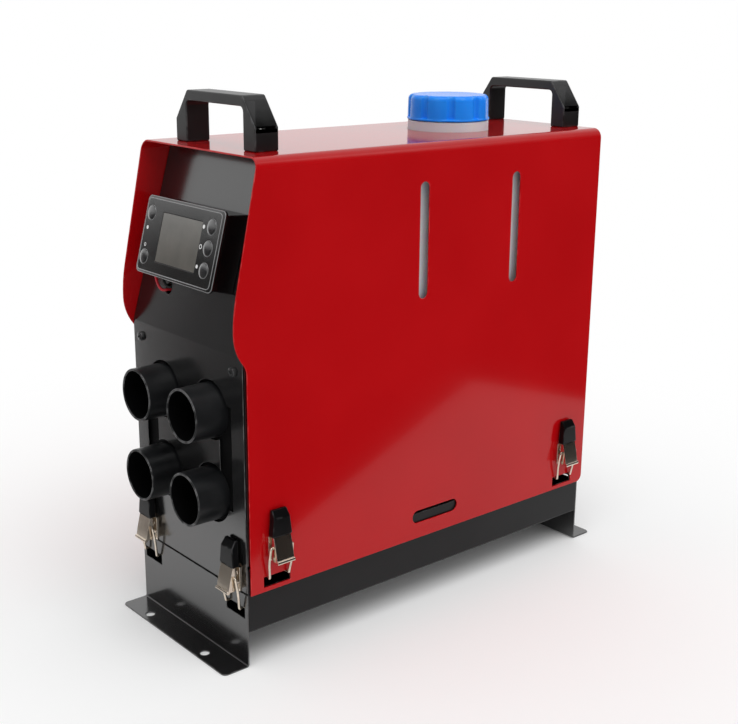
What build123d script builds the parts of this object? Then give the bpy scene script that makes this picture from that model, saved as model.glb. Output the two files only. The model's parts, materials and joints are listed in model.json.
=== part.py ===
"""Diesel air heater: red cover with a hood, black base, four duct outlets, controller, fuel tank and latches.

Millimetres, +Z up, the front faces -Y. The origin is on the ground under the middle of the whole heater.
"""
import os
from math import cos, hypot, radians, sin, tan

from build123d import *

os.makedirs("parts", exist_ok=True)


# ---------------------------------------------------------------------------------------------------
# Driving dimensions
# ---------------------------------------------------------------------------------------------------

# Sheet metal
body_width = 150.0
sheet = 1.2
sheet_gap = 0.4  # between the cover and the sheets that stand inside it

# Cover: one sheet bent to an upside-down U, its front edge stepped forward to a hood
parting_z = 58.0
cover_lap = 1.0  # how far the cover hangs below the parting line
parting_gap = 1.4  # between the base's end walls and the panels above them
cover_length = 363.0
cover_height = 315.0
cover_bend_radius = 8.0
cover_corner_radius = 6.0
hood_start_z = 224.5
hood_lower_radius = 12.0
hood_upper_radius = 36.0
hood_turn = 38.0
hood_brow_radius = 120.0
hood_lean = 12.0

# Openings in the sides of the cover
sight_slot_width = 9.0
sight_slot_length = 89.0
sight_slot_mid_z = 299.5
sight_slot_insets = (199.5, 101.0)  # from the cover's rear edge
flat_slot_length = 49.0
flat_slot_height = 10.5
flat_slot_mid_z = 75.5

# Front panel: upright below, leaning back inside the hood
panel_proud = 2.7
panel_bend_z = 236.0
panel_lean = 16.3
panel_bend_radius = 3.0
panel_top_room = 5.0
panel_flange = 12.0
duct_hole_radius = 22.4
duct_slot_inner_x = 42.5
duct_slot_outer_x = 58.0
duct_slot_bottom_z = 118.0
duct_slot_top_z = 197.0
panel_screw_inset = 13.0  # from the cover's side
panel_screw_z = 224.5
wire_hole_x = -34.0
wire_hole_z = 265.5
wire_hole_radius = 4.0

# Rear panel
rear_inset = 3.0
grille_mid_z = 145.0
grille_radius = 46.0
grille_hole_radius = 3.2
grille_pitch = 9.0

# Base
tray_floor_z = 27.0
tray_wall_top_z = 78.0
tray_bend_radius = 2.4
foot_reach = 21.5
foot_bend_radius = 2.4
foot_corner_radius = 4.0
foot_hole_radius = 3.6
foot_hole_reach = 14.2
foot_hole_xs = (-43.0, 36.5)

# Duct outlets
outlet_x = 31.65
outlet_mid_z = 157.5
outlet_rise = 31.8
outlet_reach = 24.4
outlet_radius = 20.2
outlet_lead_in = 0.5
outlet_bore_radius = 18.2

# Duct manifold behind the front panel
manifold_gap = 1.0
manifold_wall = 2.0
manifold_half_width = 60.0
manifold_bottom_z = 98.0
manifold_top_z = 213.5
manifold_corner_radius = 8.0
manifold_hole_step = 0.8  # how much wider its holes are than the outlets' bores

# Handles
handle_depth = 20.0
handle_height = 37.6
handle_half_width = 50.5
handle_top_half_width = 35.0
handle_shoulder = 16.5
handle_gap_half_width = 36.0
handle_gap_height = 30.0
handle_gap_radius = 4.0
handle_edge_radius = 1.2
handle_channel_floor = 14.0
handle_channel_x = 38.0
handle_channel_wall = 2.0
front_handle_distance = 27.4
rear_handle_inset = 0.8
handle_screw_x = 43.0
handle_screw_bite = 3.6

# Screws of the handles and panels
screw_head_radius = 3.6
screw_head_height = 2.4
screw_radius = 2.0
panel_screw_length = 4.8
screw_clearance = 0.1

# Fuel tank and its cap
tank_side_gap = 5.8
tank_front_distance = 40.0
tank_rear_gap = 3.8
tank_top_gap = 8.8
tank_wall = 2.5
tank_corner_radius = 12.0
tank_top_radius = 7.0
cap_inset = 106.3  # its middle, from the cover's rear edge
collar_radius = 33.2
collar_gap = 0.4
collar_height = 7.5
neck_radius = 29.6
neck_height = 15.0
neck_bore_radius = 26.0
cap_radius = 33.8
cap_height = 20.0
cap_top = 3.0
cap_bore_gap = 0.4
cap_seat_gap = 0.5
cap_groove_count = 9
cap_groove_radius = 2.0
cap_groove_depth = 1.1
cap_edge = 1.0
seal_height = 2.2
seal_side_gap = 0.3
tank_outlet_x = 28.0
tank_outlet_inset = 18.0
tank_outlet_radius = 2.5
tank_outlet_length = 8.0

# Tank shelf: spans the cover from side to side, its two aprons take the panel screws
shelf_z = 232.0
shelf_apron = 15.0
shelf_flange = 10.0
shelf_tongue_gap = 1.2

# Controller
controller_lean = 15.0
controller_face_distance = -5.2
controller_z = 306.8
bezel_width = 101.5
bezel_height = 57.5
bezel_corner_radius = 4.0
bezel_thickness = 3.0
bezel_slope_width = 3.0
bezel_slope_height = 2.25
bezel_slope_depth = 1.0
housing_half_width = 47.0
housing_bottom = 27.2
housing_top = 25.6
housing_top_rise = 3.8
housing_wall = 2.5
display_half_width = 26.0
display_half_height = 18.0
display_thickness = 1.3
display_sink = 0.2
display_ledge = 1.5
part_gap = 0.2  # round the display and the board
button_spots = {
    "button_upper_left": (-41.5, 15.9),
    "button_lower_left": (-41.5, -16.6),
    "button_upper_right": (38.0, 16.0),
    "button_middle_right": (38.0, 1.0),
    "button_lower_right": (38.0, -14.5),
}
button_radius = 5.2
button_gap = 0.3
button_proud = 1.3
button_edge = 0.5
button_stem_radius = 2.6
button_bar_width = 5.2
button_bar_length = 12.6
button_bar = 1.2
button_travel = 1.0
board_depth = 9.0
board_thickness = 1.6
switch_height = 3.2
switch_width = 6.0
display_block_inset = 1.0
snap_width = 12.0
snap_depth = 1.4
snap_top_x = 20.0
snap_bottom_x = 24.0

# Controller wires: X, distance behind the cover's front edge, Z
wire_radius = 1.1
wire_bend_radius = 2.2
red_wire = ((-43.0, 2.4, 280.0), (-43.0, 2.2, 266.0), (-35.4, 2.6, 263.8), (-35.4, 16.0, 265.0))
black_wire = ((-38.5, 4.2, 279.5), (-38.5, 4.0, 268.6), (-32.6, 4.4, 266.4), (-32.6, 16.0, 266.4))
wire_exit_x = -40.8
wire_exit_depth = 16.5
wire_exit_width = 9.0
wire_exit_length = 6.5

# Draw latches, measured from the wall's face and from the height of the lever's pivot
front_latch_inset = 17.0  # from the cover's side
front_latch_z = 62.5
side_latch_z = 84.5
side_latch_front_distance = 23.5
side_latch_rear_inset = 27.0
latch_sheet = 1.0
latch_base_half_width = 8.0
latch_base_bottom = -3.5
latch_base_top = 15.5
ear_radius = 2.2
ear_half_spacing = 6.6
pivot_out = 6.2
pivot_radius = 1.2
pivot_clearance = 0.06
lever_sheet = 0.8
lever_gap = 0.3
lever_foot = (10.8, -2.2)
lever_roll_radius = 1.4
lever_knee = (9.5, 5.0)
lever_neck = (6.68, 16.2)
lever_tongue_root = (6.2, 18.5)
lever_tongue_end = (4.2, 33.0)
lever_tongue_half_width = 6.0
cheek_margin = 2.2
grip_half_width = 8.8
grip_top_half_width = 6.5
grip_outline = ((1.7, 16.5), (7.2, 16.5), (6.9, 30.8), (3.4, 36.2), (0.9, 36.2))
grip_edge_radius = 0.8
grip_slot_gap = 0.1
bail_pivot = (5.9, 8.5)
bail_wire_radius = 1.0
bail_clearance = 0.06
bail_half_width = 9.8
bail_hook_half_width = 8.7
bail_bend_radius = 1.5
bail_hook_corner = (2.2, -17.0)
bail_hook_end = -4.2
window_half_width = 12.0
window_gap = 0.3
window_height = 8.3
rivet_x = 3.2
rivet_up = 10.0
rivet_radius = 1.5
rivet_head_radius = 2.2
rivet_head_height = 1.0

# Heater unit: a distance is measured from the cover's front edge, an inset from its rear edge
bracket_top_z = 75.3
bracket_sheet = 1.5
bracket_side_gap = 6.2
bracket_leg_inset = 16.0
bracket_front_distance = 55.0
bracket_rear_inset = 45.0
casing_half_width = 58.0
casing_top_z = 215.0
casing_front_distance = 40.0
casing_rear_inset = 33.0
casing_wall = 2.0
casing_corner_radius = 12.0
exchanger_front_distance = 62.0
exchanger_rear_inset = 117.0
exchanger_radius = 38.0
exchanger_nose_radius = 12.0
fin_radius = 50.0
fin_thickness = 2.6
fin_count = 16
fin_front_distance = 80.0
fin_rear_inset = 141.0
wheel_room_depth = 20.0
wheel_room_radius = 33.0
pad_half_width = 20.0
pad_front_distance = 95.0
exhaust_distance = 115.0
intake_inset = 165.0
stub_radius = 12.0
stub_bore_radius = 10.2
stub_bottom_z = 9.0
stub_bore_depth = 100.0
stub_gap = 1.5
plug_inset = 183.0
plug_radius = 4.0
plug_boss_radius = 8.0
plug_boss_rise = 1.0
plug_depth = 25.0
plug_head_height = 7.0
plug_terminal_height = 7.0
plug_gap = 0.1
motor_flange_radius = 42.0
motor_flange = 4.0
motor_radius = 24.0
motor_length = 42.0
shaft_radius = 3.0
shaft_gap = 0.06
fan_radius = 50.0
fan_hub_radius = 17.0
fan_hub_depth = 18.0
fan_gap = 8.0
fan_blade_count = 7
fan_blade_thickness = 2.0
fan_blade_pitch = 35.0
wheel_radius = 30.0
wheel_disc = 3.0
wheel_vane_height = 7.0
wheel_vane_count = 12
wheel_vane_length = 15.0
wheel_vane_mid_radius = 20.0
wheel_vane_thickness = 2.0
wheel_hub_radius = 9.0
wheel_front_gap = 4.0
pump_radius = 14.0
pump_z = 46.0
pump_front_inset = 123.0
pump_rear_inset = 61.0
pump_barb_length = 6.0
pump_foot_width = 18.0
pump_foot_length = 30.0
hose_radius = 3.5
hose_bend_radius = 12.0
hose_gap = 0.2
fuel_boss_radius = 7.0
fuel_boss_z = 101.0
fuel_boss_height = 25.0
fuel_boss_inset = 150.0
control_board_half_width = 38.0
control_board_front_inset = 110.0
control_board_length = 40.0
connector_x = -22.0
connector_size = (16.0, 20.0)
relay_spot = (4.0, 6.0)
relay_size = (18.0, 9.0)
capacitor_x = 26.0
capacitor_radius = 5.0
board_part_height = 4.8
post_radius = 3.0
post_height = 8.0

# Cable gland in the rear panel
gland_x = -50.0
gland_z = 88.0
gland_flange_radius = 10.0
gland_flange = 5.0
gland_thread_radius = 7.0
gland_dome_length = 6.0
gland_dome_radius = 3.0
gland_nut = 4.0
gland_bore_radius = 3.5


# ---------------------------------------------------------------------------------------------------
# Places worked out from them
# ---------------------------------------------------------------------------------------------------

rear_foot_distance = cover_length - rear_inset + foot_reach
front_edge_y = -(rear_foot_distance - panel_proud - outlet_reach) / 2


def behind(distance):
    """Y of a place so far behind the cover's upright front edge."""
    return front_edge_y + distance


def ahead(inset):
    """Y of a place so far ahead of the cover's rear edge."""
    return behind(cover_length - inset)


half_width = body_width / 2
inner_half_width = half_width - sheet
panel_half_width = inner_half_width - sheet_gap
panel_screw_x = half_width - panel_screw_inset
front_latch_x = half_width - front_latch_inset
cover_bottom_z = parting_z - cover_lap
cover_top_z = cover_bottom_z + cover_height
panel_bottom_z = parting_z + parting_gap
panel_top_z = cover_top_z - panel_top_room
panel_y = behind(-panel_proud)
panel_slope = tan(radians(panel_lean))
panel_top_y = panel_y + (panel_top_z - panel_bend_z) * panel_slope
rear_panel_y = ahead(rear_inset)
flange_bottom_z = tray_wall_top_z + 2 * sheet
cap_y = ahead(cap_inset)
tray_top_z = tray_floor_z + sheet
lever_half_width = ear_half_spacing + lever_gap + lever_sheet
window_top = bail_hook_corner[1] + bail_wire_radius + window_gap
window_mid = window_top - window_height / 2
rivet_spots = [(-rivet_x, rivet_up), (rivet_x, rivet_up)]
manifold_y = panel_y + sheet + manifold_gap
casing_mid_z = (bracket_top_z + casing_top_z) / 2
casing_floor_z = bracket_top_z + casing_wall
shelf_top_z = shelf_z + sheet
tank_top_z = cover_top_z - sheet - tank_top_gap

handle_front_ys = {
    "front_handle": behind(front_handle_distance),
    "rear_handle": ahead(rear_handle_inset + handle_depth),
}

# Latches: the local frame has the wall in XZ with its face at y = 0, and -Y points away from the wall
latch_side = Plane(origin=(0, 0, 0), x_dir=(0, -1, 0), z_dir=(-1, 0, 0))
latch_places = {
    "front_left": Location((-front_latch_x, panel_y, front_latch_z)),
    "front_right": Location((front_latch_x, panel_y, front_latch_z)),
}
side_latch_ys = {"front": behind(side_latch_front_distance), "rear": ahead(side_latch_rear_inset)}
for end, latch_y in side_latch_ys.items():
    latch_places[f"right_{end}"] = Location((half_width, latch_y, side_latch_z), (0, 0, 90))
    latch_places[f"left_{end}"] = Location((-half_width, latch_y, side_latch_z), (0, 0, -90))

# Controller: its face plane has local X to the right, local Y up the face and local Z out of it
face_out = (0, -cos(radians(controller_lean)), sin(radians(controller_lean)))
face_origin = (0, behind(controller_face_distance), controller_z)
face_plane = Plane(origin=face_origin, x_dir=(1, 0, 0), z_dir=face_out)


def on_face(up, depth):
    """Y and Z of a point so far up the controller's face and so deep behind it."""
    lean = radians(controller_lean)
    return (
        face_origin[1] + up * sin(lean) + depth * cos(lean),
        face_origin[2] + up * cos(lean) - depth * sin(lean),
    )


def panel_depth(up):
    """Depth of the front panel's face behind the controller's face, so far up it."""
    lean = radians(controller_lean)
    y, z = on_face(up, 0)
    return (panel_y + (z - panel_bend_z) * panel_slope - y) / (cos(lean) + sin(lean) * panel_slope)


def keep(piece, name):
    """Label one piece and write it."""
    piece.label = name
    export_step(piece, f"parts/{name}.step")


# ---------------------------------------------------------------------------------------------------
# Base: tray and two foot brackets
# ---------------------------------------------------------------------------------------------------

side_window_spots = [(latch_y, side_latch_z + window_mid) for latch_y in side_latch_ys.values()]
stub_spots = [(0, behind(exhaust_distance)), (0, ahead(intake_inset))]

with BuildPart() as base_tray:
    tray_rear_y = rear_panel_y - sheet
    with BuildSketch(Plane.XZ.offset(-tray_rear_y)):
        with BuildLine():
            FilletPolyline(
                (panel_half_width, tray_wall_top_z),
                (panel_half_width, tray_floor_z),
                (-panel_half_width, tray_floor_z),
                (-panel_half_width, tray_wall_top_z),
                radius=tray_bend_radius,
            )
            offset(amount=sheet, side=Side.RIGHT)
        make_face()
    extrude(amount=tray_rear_y - panel_y - sheet)
    with BuildSketch(Plane.YZ):
        with Locations(*side_window_spots):
            Rectangle(2 * window_half_width, window_height)
    extrude(amount=body_width, both=True, mode=Mode.SUBTRACT)
    with BuildSketch(Plane.XY.offset(tray_floor_z)):
        with Locations(*stub_spots):
            Circle(stub_radius + stub_gap)
    extrude(amount=sheet, mode=Mode.SUBTRACT)
keep(base_tray.part, "base_tray")


def foot_bracket(face_y, outward, window_xs):
    """Upright wall on the tray's end with a foot turned outward: -1 at the front, 1 at the rear."""
    with BuildPart() as bracket:
        with BuildSketch(Plane.YZ):
            with BuildLine():
                FilletPolyline(
                    (face_y - outward * sheet, parting_z),
                    (face_y - outward * sheet, 0),
                    (face_y + outward * foot_reach, 0),
                    radius=foot_bend_radius,
                )
                offset(amount=sheet, side=Side.RIGHT if outward < 0 else Side.LEFT)
            make_face()
        extrude(amount=panel_half_width, both=True)
        upright_edges = edges().filter_by(Axis.Z).group_by(Axis.Y)
        fillet(upright_edges[0 if outward < 0 else -1], radius=foot_corner_radius)
        with Locations(*[(x, face_y + outward * foot_hole_reach, sheet) for x in foot_hole_xs]):
            Hole(foot_hole_radius)
        if window_xs:
            with BuildSketch(Plane.XZ.offset(-face_y)):
                with Locations(*[(x, front_latch_z + window_mid) for x in window_xs]):
                    Rectangle(2 * window_half_width, window_height)
            extrude(amount=2 * sheet, both=True, mode=Mode.SUBTRACT)
    return bracket.part


keep(foot_bracket(panel_y, -1, (-front_latch_x, front_latch_x)), "front_foot")
keep(foot_bracket(rear_panel_y, 1, ()), "rear_foot")


# ---------------------------------------------------------------------------------------------------
# Cover and panels
# ---------------------------------------------------------------------------------------------------

with BuildPart() as shell_cover:
    with BuildSketch(Plane.XZ.offset(-behind(cover_length))):
        with BuildLine():
            FilletPolyline(
                (half_width, cover_bottom_z),
                (half_width, cover_top_z),
                (-half_width, cover_top_z),
                (-half_width, cover_bottom_z),
                radius=cover_bend_radius,
            )
            offset(amount=sheet, side=Side.LEFT)
        make_face()
    extrude(amount=cover_length + hood_upper_radius)
    with BuildSketch(Plane.YZ):
        with BuildLine():
            front_edge = Line((behind(0), cover_bottom_z), (behind(0), hood_start_z))
            belly = JernArc(front_edge @ 1, front_edge % 1, hood_lower_radius, hood_turn)
            nose = JernArc(belly @ 1, belly % 1, hood_upper_radius, -hood_turn)
            brow = JernArc(nose @ 1, nose % 1, hood_brow_radius, -hood_lean)
            hood_top_y = (brow @ 1).X + (cover_top_z - (brow @ 1).Y) * tan(radians(hood_lean))
            Polyline(
                brow @ 1,
                (hood_top_y, cover_top_z),
                (behind(cover_length), cover_top_z),
                (behind(cover_length), cover_bottom_z),
                front_edge @ 0,
            )
        make_face()
        fillet(vertices().group_by(Axis.X)[-1].sort_by(Axis.Y)[0], radius=cover_corner_radius)
    extrude(amount=body_width, both=True, mode=Mode.INTERSECT)
    with Locations((0, cap_y, cover_top_z)):
        Hole(collar_radius + collar_gap, depth=2 * sheet)
    with BuildSketch(Plane.YZ):
        with Locations(*[(ahead(inset), sight_slot_mid_z) for inset in sight_slot_insets]):
            SlotOverall(sight_slot_length, sight_slot_width, rotation=90)
        with Locations((behind(cover_length / 2), flat_slot_mid_z)):
            SlotOverall(flat_slot_length, flat_slot_height)
        with Locations(*side_window_spots):
            Rectangle(2 * window_half_width, window_height)
        for latch_y in side_latch_ys.values():
            with Locations((latch_y, side_latch_z)):
                with Locations(*rivet_spots):
                    Circle(rivet_radius + screw_clearance)
    extrude(amount=body_width, both=True, mode=Mode.SUBTRACT)
    with BuildSketch(Plane.XY.offset(cover_top_z - 2 * sheet)):
        for handle_y in handle_front_ys.values():
            with Locations((0, handle_y + handle_depth / 2)):
                with Locations((-handle_screw_x, 0), (handle_screw_x, 0)):
                    Circle(screw_radius + screw_clearance)
    extrude(amount=3 * sheet, mode=Mode.SUBTRACT)
keep(shell_cover.part, "shell_cover")

outlet_spots = {
    "outlet_upper_left": (-outlet_x, outlet_mid_z + outlet_rise),
    "outlet_upper_right": (outlet_x, outlet_mid_z + outlet_rise),
    "outlet_lower_left": (-outlet_x, outlet_mid_z - outlet_rise),
    "outlet_lower_right": (outlet_x, outlet_mid_z - outlet_rise),
}
duct_slot_mid = ((duct_slot_inner_x + duct_slot_outer_x) / 2, (duct_slot_bottom_z + duct_slot_top_z) / 2)

with BuildSketch(Plane.XZ) as inside_cover:
    inside_top_z = cover_top_z - sheet - sheet_gap
    with Locations((0, (inside_top_z + panel_bottom_z) / 2)):
        Rectangle(2 * panel_half_width, inside_top_z - panel_bottom_z)
    fillet(vertices().group_by(Axis.Y)[-1], radius=cover_bend_radius - sheet - sheet_gap)

with BuildPart() as front_panel:
    with BuildSketch(Plane.YZ):
        with BuildLine():
            FilletPolyline(
                (panel_y, panel_bottom_z),
                (panel_y, panel_bend_z),
                (panel_top_y, panel_top_z),
                radius=panel_bend_radius,
            )
            offset(amount=sheet, side=Side.RIGHT)
        make_face()
    extrude(amount=panel_half_width, both=True)
    for side in (-1, 1):
        with BuildSketch(Plane.YZ.offset(side * panel_half_width)):
            with BuildLine():
                flange_front = FilletPolyline(
                    (panel_y, flange_bottom_z),
                    (panel_y, panel_bend_z),
                    (panel_top_y, panel_top_z),
                    radius=panel_bend_radius,
                )
                Polyline(
                    flange_front @ 1,
                    (panel_top_y + panel_flange, panel_top_z),
                    (panel_y + panel_flange, panel_bend_z),
                    (panel_y + panel_flange, flange_bottom_z),
                    flange_front @ 0,
                )
            make_face()
        extrude(amount=-side * sheet)
    extrude(inside_cover.sketch, amount=cover_length, both=True, mode=Mode.INTERSECT)
    with BuildSketch(Plane.XZ.offset(-panel_y)):
        with Locations(*outlet_spots.values()):
            Circle(duct_hole_radius)
        for side in (-1, 1):
            with Locations((side * duct_slot_mid[0], duct_slot_mid[1])):
                Rectangle(duct_slot_outer_x - duct_slot_inner_x, duct_slot_top_z - duct_slot_bottom_z)
            with Locations((side * panel_screw_x, panel_screw_z)):
                Circle(screw_radius + screw_clearance)
            with Locations((side * front_latch_x, front_latch_z)):
                with Locations(*rivet_spots):
                    Circle(rivet_radius + screw_clearance)
    extrude(amount=2 * sheet, both=True, mode=Mode.SUBTRACT)
    with BuildSketch(Plane.XZ.offset(-panel_y)):
        with Locations((wire_hole_x, wire_hole_z)):
            Circle(wire_hole_radius)
    extrude(amount=-panel_flange * 2, mode=Mode.SUBTRACT)
keep(front_panel.part, "front_panel")

grille_count = int(grille_radius / grille_pitch)
grille_steps = [grille_pitch * step for step in range(-grille_count, grille_count + 1)]
grille_spots = [
    (x, grille_mid_z + z) for x in grille_steps for z in grille_steps if hypot(x, z) < grille_radius
]

with BuildPart() as rear_panel:
    with BuildSketch(Plane.XZ.offset(-rear_panel_y)):
        with Locations((0, (panel_bottom_z + panel_top_z) / 2)):
            Rectangle(2 * panel_half_width, panel_top_z - panel_bottom_z)
        with Locations(*grille_spots):
            Circle(grille_hole_radius, mode=Mode.SUBTRACT)
        with Locations((-panel_screw_x, panel_screw_z), (panel_screw_x, panel_screw_z)):
            Circle(screw_radius + screw_clearance, mode=Mode.SUBTRACT)
        with Locations((gland_x, gland_z)):
            Circle(gland_thread_radius + screw_clearance, mode=Mode.SUBTRACT)
    extrude(amount=sheet)
    for side in (-1, 1):
        with BuildSketch(Plane.YZ.offset(side * panel_half_width)):
            with Locations((rear_panel_y - panel_flange / 2, (flange_bottom_z + panel_top_z) / 2)):
                Rectangle(panel_flange, panel_top_z - flange_bottom_z)
        extrude(amount=-side * sheet)
    extrude(inside_cover.sketch, amount=cover_length, both=True, mode=Mode.INTERSECT)
keep(rear_panel.part, "rear_panel")

with BuildPart() as panel_screws:
    for face_y, outward in ((panel_y, -1), (rear_panel_y, 1)):
        for x in (-panel_screw_x, panel_screw_x):
            with BuildSketch(Plane(origin=(x, face_y, panel_screw_z), z_dir=(0, outward, 0))):
                Circle(screw_head_radius)
            extrude(amount=screw_head_height)
            with BuildSketch(Plane(origin=(x, face_y, panel_screw_z), z_dir=(0, -outward, 0))):
                Circle(screw_radius)
            extrude(amount=panel_screw_length)
keep(panel_screws.part, "panel_screws")


# ---------------------------------------------------------------------------------------------------
# Duct outlets and the manifold that feeds them
# ---------------------------------------------------------------------------------------------------

outlet_length = manifold_y - panel_y + outlet_reach

for name, spot in outlet_spots.items():
    with BuildPart() as outlet:
        with BuildSketch(Plane.XZ.offset(-manifold_y)):
            with Locations(spot):
                Circle(outlet_radius)
        extrude(amount=outlet_length)
        chamfer(faces().sort_by(Axis.Y)[0].edges(), length=outlet_lead_in)
        with BuildSketch(Plane.XZ.offset(-manifold_y)):
            with Locations(spot):
                Circle(outlet_bore_radius)
        extrude(amount=outlet_length, mode=Mode.SUBTRACT)
    keep(outlet.part, name)

manifold_mid_z = (manifold_bottom_z + manifold_top_z) / 2
manifold_height = manifold_top_z - manifold_bottom_z
casing_front_y = behind(casing_front_distance)
casing_rear_y = ahead(casing_rear_inset)

with BuildPart() as duct_manifold:
    with BuildSketch(Plane.XZ.offset(-casing_front_y)):
        with Locations((0, manifold_mid_z)):
            RectangleRounded(2 * manifold_half_width, manifold_height, manifold_corner_radius)
    extrude(amount=casing_front_y - manifold_y)
    with BuildSketch(Plane.XZ.offset(-casing_front_y)):
        with Locations((0, manifold_mid_z)):
            RectangleRounded(
                2 * (manifold_half_width - manifold_wall),
                manifold_height - 2 * manifold_wall,
                manifold_corner_radius - manifold_wall,
            )
    extrude(amount=casing_front_y - manifold_y - manifold_wall, mode=Mode.SUBTRACT)
    with BuildSketch(Plane.XZ.offset(-manifold_y - 2 * manifold_wall)):
        with Locations(*outlet_spots.values()):
            Circle(outlet_bore_radius + manifold_hole_step)
    extrude(amount=4 * manifold_wall, mode=Mode.SUBTRACT)
keep(duct_manifold.part, "duct_manifold")


# ---------------------------------------------------------------------------------------------------
# Handles
# ---------------------------------------------------------------------------------------------------

handle_top_z = cover_top_z + handle_height
channel_floor_z = cover_top_z + handle_channel_floor

for name, handle_y in handle_front_ys.items():
    with BuildPart() as handle:
        with BuildSketch(Plane.XZ.offset(-handle_y - handle_depth)):
            with BuildLine():
                Polyline(
                    (-handle_half_width, cover_top_z),
                    (-handle_half_width, cover_top_z + handle_shoulder),
                    (-handle_top_half_width, handle_top_z),
                    (handle_top_half_width, handle_top_z),
                    (handle_half_width, cover_top_z + handle_shoulder),
                    (handle_half_width, cover_top_z),
                    close=True,
                )
            make_face()
        extrude(amount=handle_depth)
        fillet(faces().sort_by(Axis.Z)[-1].edges().filter_by(Axis.X), radius=handle_edge_radius)
        with BuildSketch(Plane.XZ.offset(-handle_y - handle_depth)):
            with Locations((0, cover_top_z)):
                Rectangle(2 * handle_gap_half_width, 2 * handle_gap_height)
            fillet(vertices().group_by(Axis.Y)[-1], radius=handle_gap_radius)
        extrude(amount=handle_depth, mode=Mode.SUBTRACT)
        with BuildSketch(Plane.XY.offset(channel_floor_z)):
            for side in (-1, 1):
                with Locations((side * (handle_channel_x + handle_depth / 2), handle_y + handle_depth / 2)):
                    Rectangle(handle_depth, handle_depth - 2 * handle_channel_wall)
        extrude(amount=handle_height, mode=Mode.SUBTRACT)
        with BuildSketch(Plane.XY.offset(cover_top_z)):
            for side in (-1, 1):
                with Locations((side * handle_screw_x, handle_y + handle_depth / 2)):
                    Circle(screw_radius + screw_clearance)
        extrude(amount=handle_height, mode=Mode.SUBTRACT)
    keep(handle.part, name)

with BuildPart() as handle_screws:
    for handle_y in handle_front_ys.values():
        for side in (-1, 1):
            spot = (side * handle_screw_x, handle_y + handle_depth / 2)
            with BuildSketch(Plane.XY.offset(channel_floor_z)):
                with Locations(spot):
                    Circle(screw_head_radius)
            extrude(amount=screw_head_height)
            with BuildSketch(Plane.XY.offset(cover_top_z - handle_screw_bite)):
                with Locations(spot):
                    Circle(screw_radius)
            extrude(amount=handle_channel_floor + handle_screw_bite)
keep(handle_screws.part, "handle_screws")


# ---------------------------------------------------------------------------------------------------
# Fuel tank, its shelf, seal and cap
# ---------------------------------------------------------------------------------------------------

tank_half_width = inner_half_width - tank_side_gap
tank_front_y = behind(tank_front_distance)
tank_rear_y = rear_panel_y - sheet - tank_rear_gap
tank_mid_y = (tank_front_y + tank_rear_y) / 2
tank_height = tank_top_z - shelf_top_z
collar_top_z = cover_top_z + collar_height
neck_top_z = collar_top_z + neck_height
tank_outlet_spot = (tank_outlet_x, ahead(tank_outlet_inset))

with BuildPart() as fuel_tank:
    with BuildSketch(Plane.XY.offset(shelf_top_z)):
        with Locations((0, tank_mid_y)):
            RectangleRounded(2 * tank_half_width, tank_rear_y - tank_front_y, tank_corner_radius)
    extrude(amount=tank_height)
    fillet(faces().sort_by(Axis.Z)[-1].edges(), radius=tank_top_radius)
    with BuildSketch(Plane.XY.offset(tank_top_z)):
        with Locations((0, cap_y)):
            Circle(collar_radius)
    extrude(amount=collar_top_z - tank_top_z)
    with BuildSketch(Plane.XY.offset(collar_top_z)):
        with Locations((0, cap_y)):
            Circle(neck_radius)
    extrude(amount=neck_height)
    with BuildSketch(Plane.XY.offset(shelf_top_z - tank_outlet_length)):
        with Locations(tank_outlet_spot):
            Circle(tank_outlet_radius)
    extrude(amount=tank_outlet_length + tank_wall)
    with BuildSketch(Plane.XY.offset(shelf_top_z + tank_wall)):
        with Locations((0, tank_mid_y)):
            RectangleRounded(
                2 * (tank_half_width - tank_wall),
                tank_rear_y - tank_front_y - 2 * tank_wall,
                tank_corner_radius - tank_wall,
            )
    extrude(amount=tank_height - 4 * tank_wall, mode=Mode.SUBTRACT)
    with BuildSketch(Plane.XY.offset(neck_top_z)):
        with Locations((0, cap_y)):
            Circle(neck_bore_radius)
    extrude(amount=-(neck_top_z - tank_top_z + 4 * tank_wall), mode=Mode.SUBTRACT)
keep(fuel_tank.part, "fuel_tank")

with BuildPart() as tank_shelf:
    wide_front_y = panel_y + panel_flange + shelf_tongue_gap
    wide_rear_y = rear_panel_y - panel_flange - shelf_tongue_gap
    tongue_half_width = panel_half_width - sheet - shelf_tongue_gap
    apron_front_y = panel_y + sheet
    apron_rear_y = rear_panel_y - sheet
    with BuildSketch(Plane.XY.offset(shelf_z)):
        with Locations((0, (wide_front_y + wide_rear_y) / 2)):
            Rectangle(2 * inner_half_width, wide_rear_y - wide_front_y)
        with Locations((0, (apron_front_y + apron_rear_y) / 2)):
            Rectangle(2 * tongue_half_width, apron_rear_y - apron_front_y)
        with Locations(tank_outlet_spot):
            Circle(tank_outlet_radius + hose_radius, mode=Mode.SUBTRACT)
    extrude(amount=sheet)
    for side in (-1, 1):
        with BuildSketch(Plane.YZ.offset(side * inner_half_width)):
            with Locations(((wide_front_y + wide_rear_y) / 2, shelf_z - shelf_flange / 2)):
                Rectangle(wide_rear_y - wide_front_y, shelf_flange)
        extrude(amount=-side * sheet)
    with BuildSketch(Plane.XZ.offset(-apron_rear_y)) as aprons:
        with Locations((0, shelf_z - shelf_apron / 2)):
            Rectangle(2 * tongue_half_width, shelf_apron)
        with Locations((-panel_screw_x, panel_screw_z), (panel_screw_x, panel_screw_z)):
            Circle(screw_radius + screw_clearance, mode=Mode.SUBTRACT)
    extrude(amount=sheet)
    with BuildSketch(Plane.XZ.offset(-apron_front_y)):
        add(aprons.sketch_local)
    extrude(amount=-sheet)
keep(tank_shelf.part, "tank_shelf")

cap_bottom_z = collar_top_z + cap_seat_gap
cap_top_z = cap_bottom_z + cap_height
cap_bore_radius = neck_radius + cap_bore_gap

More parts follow.
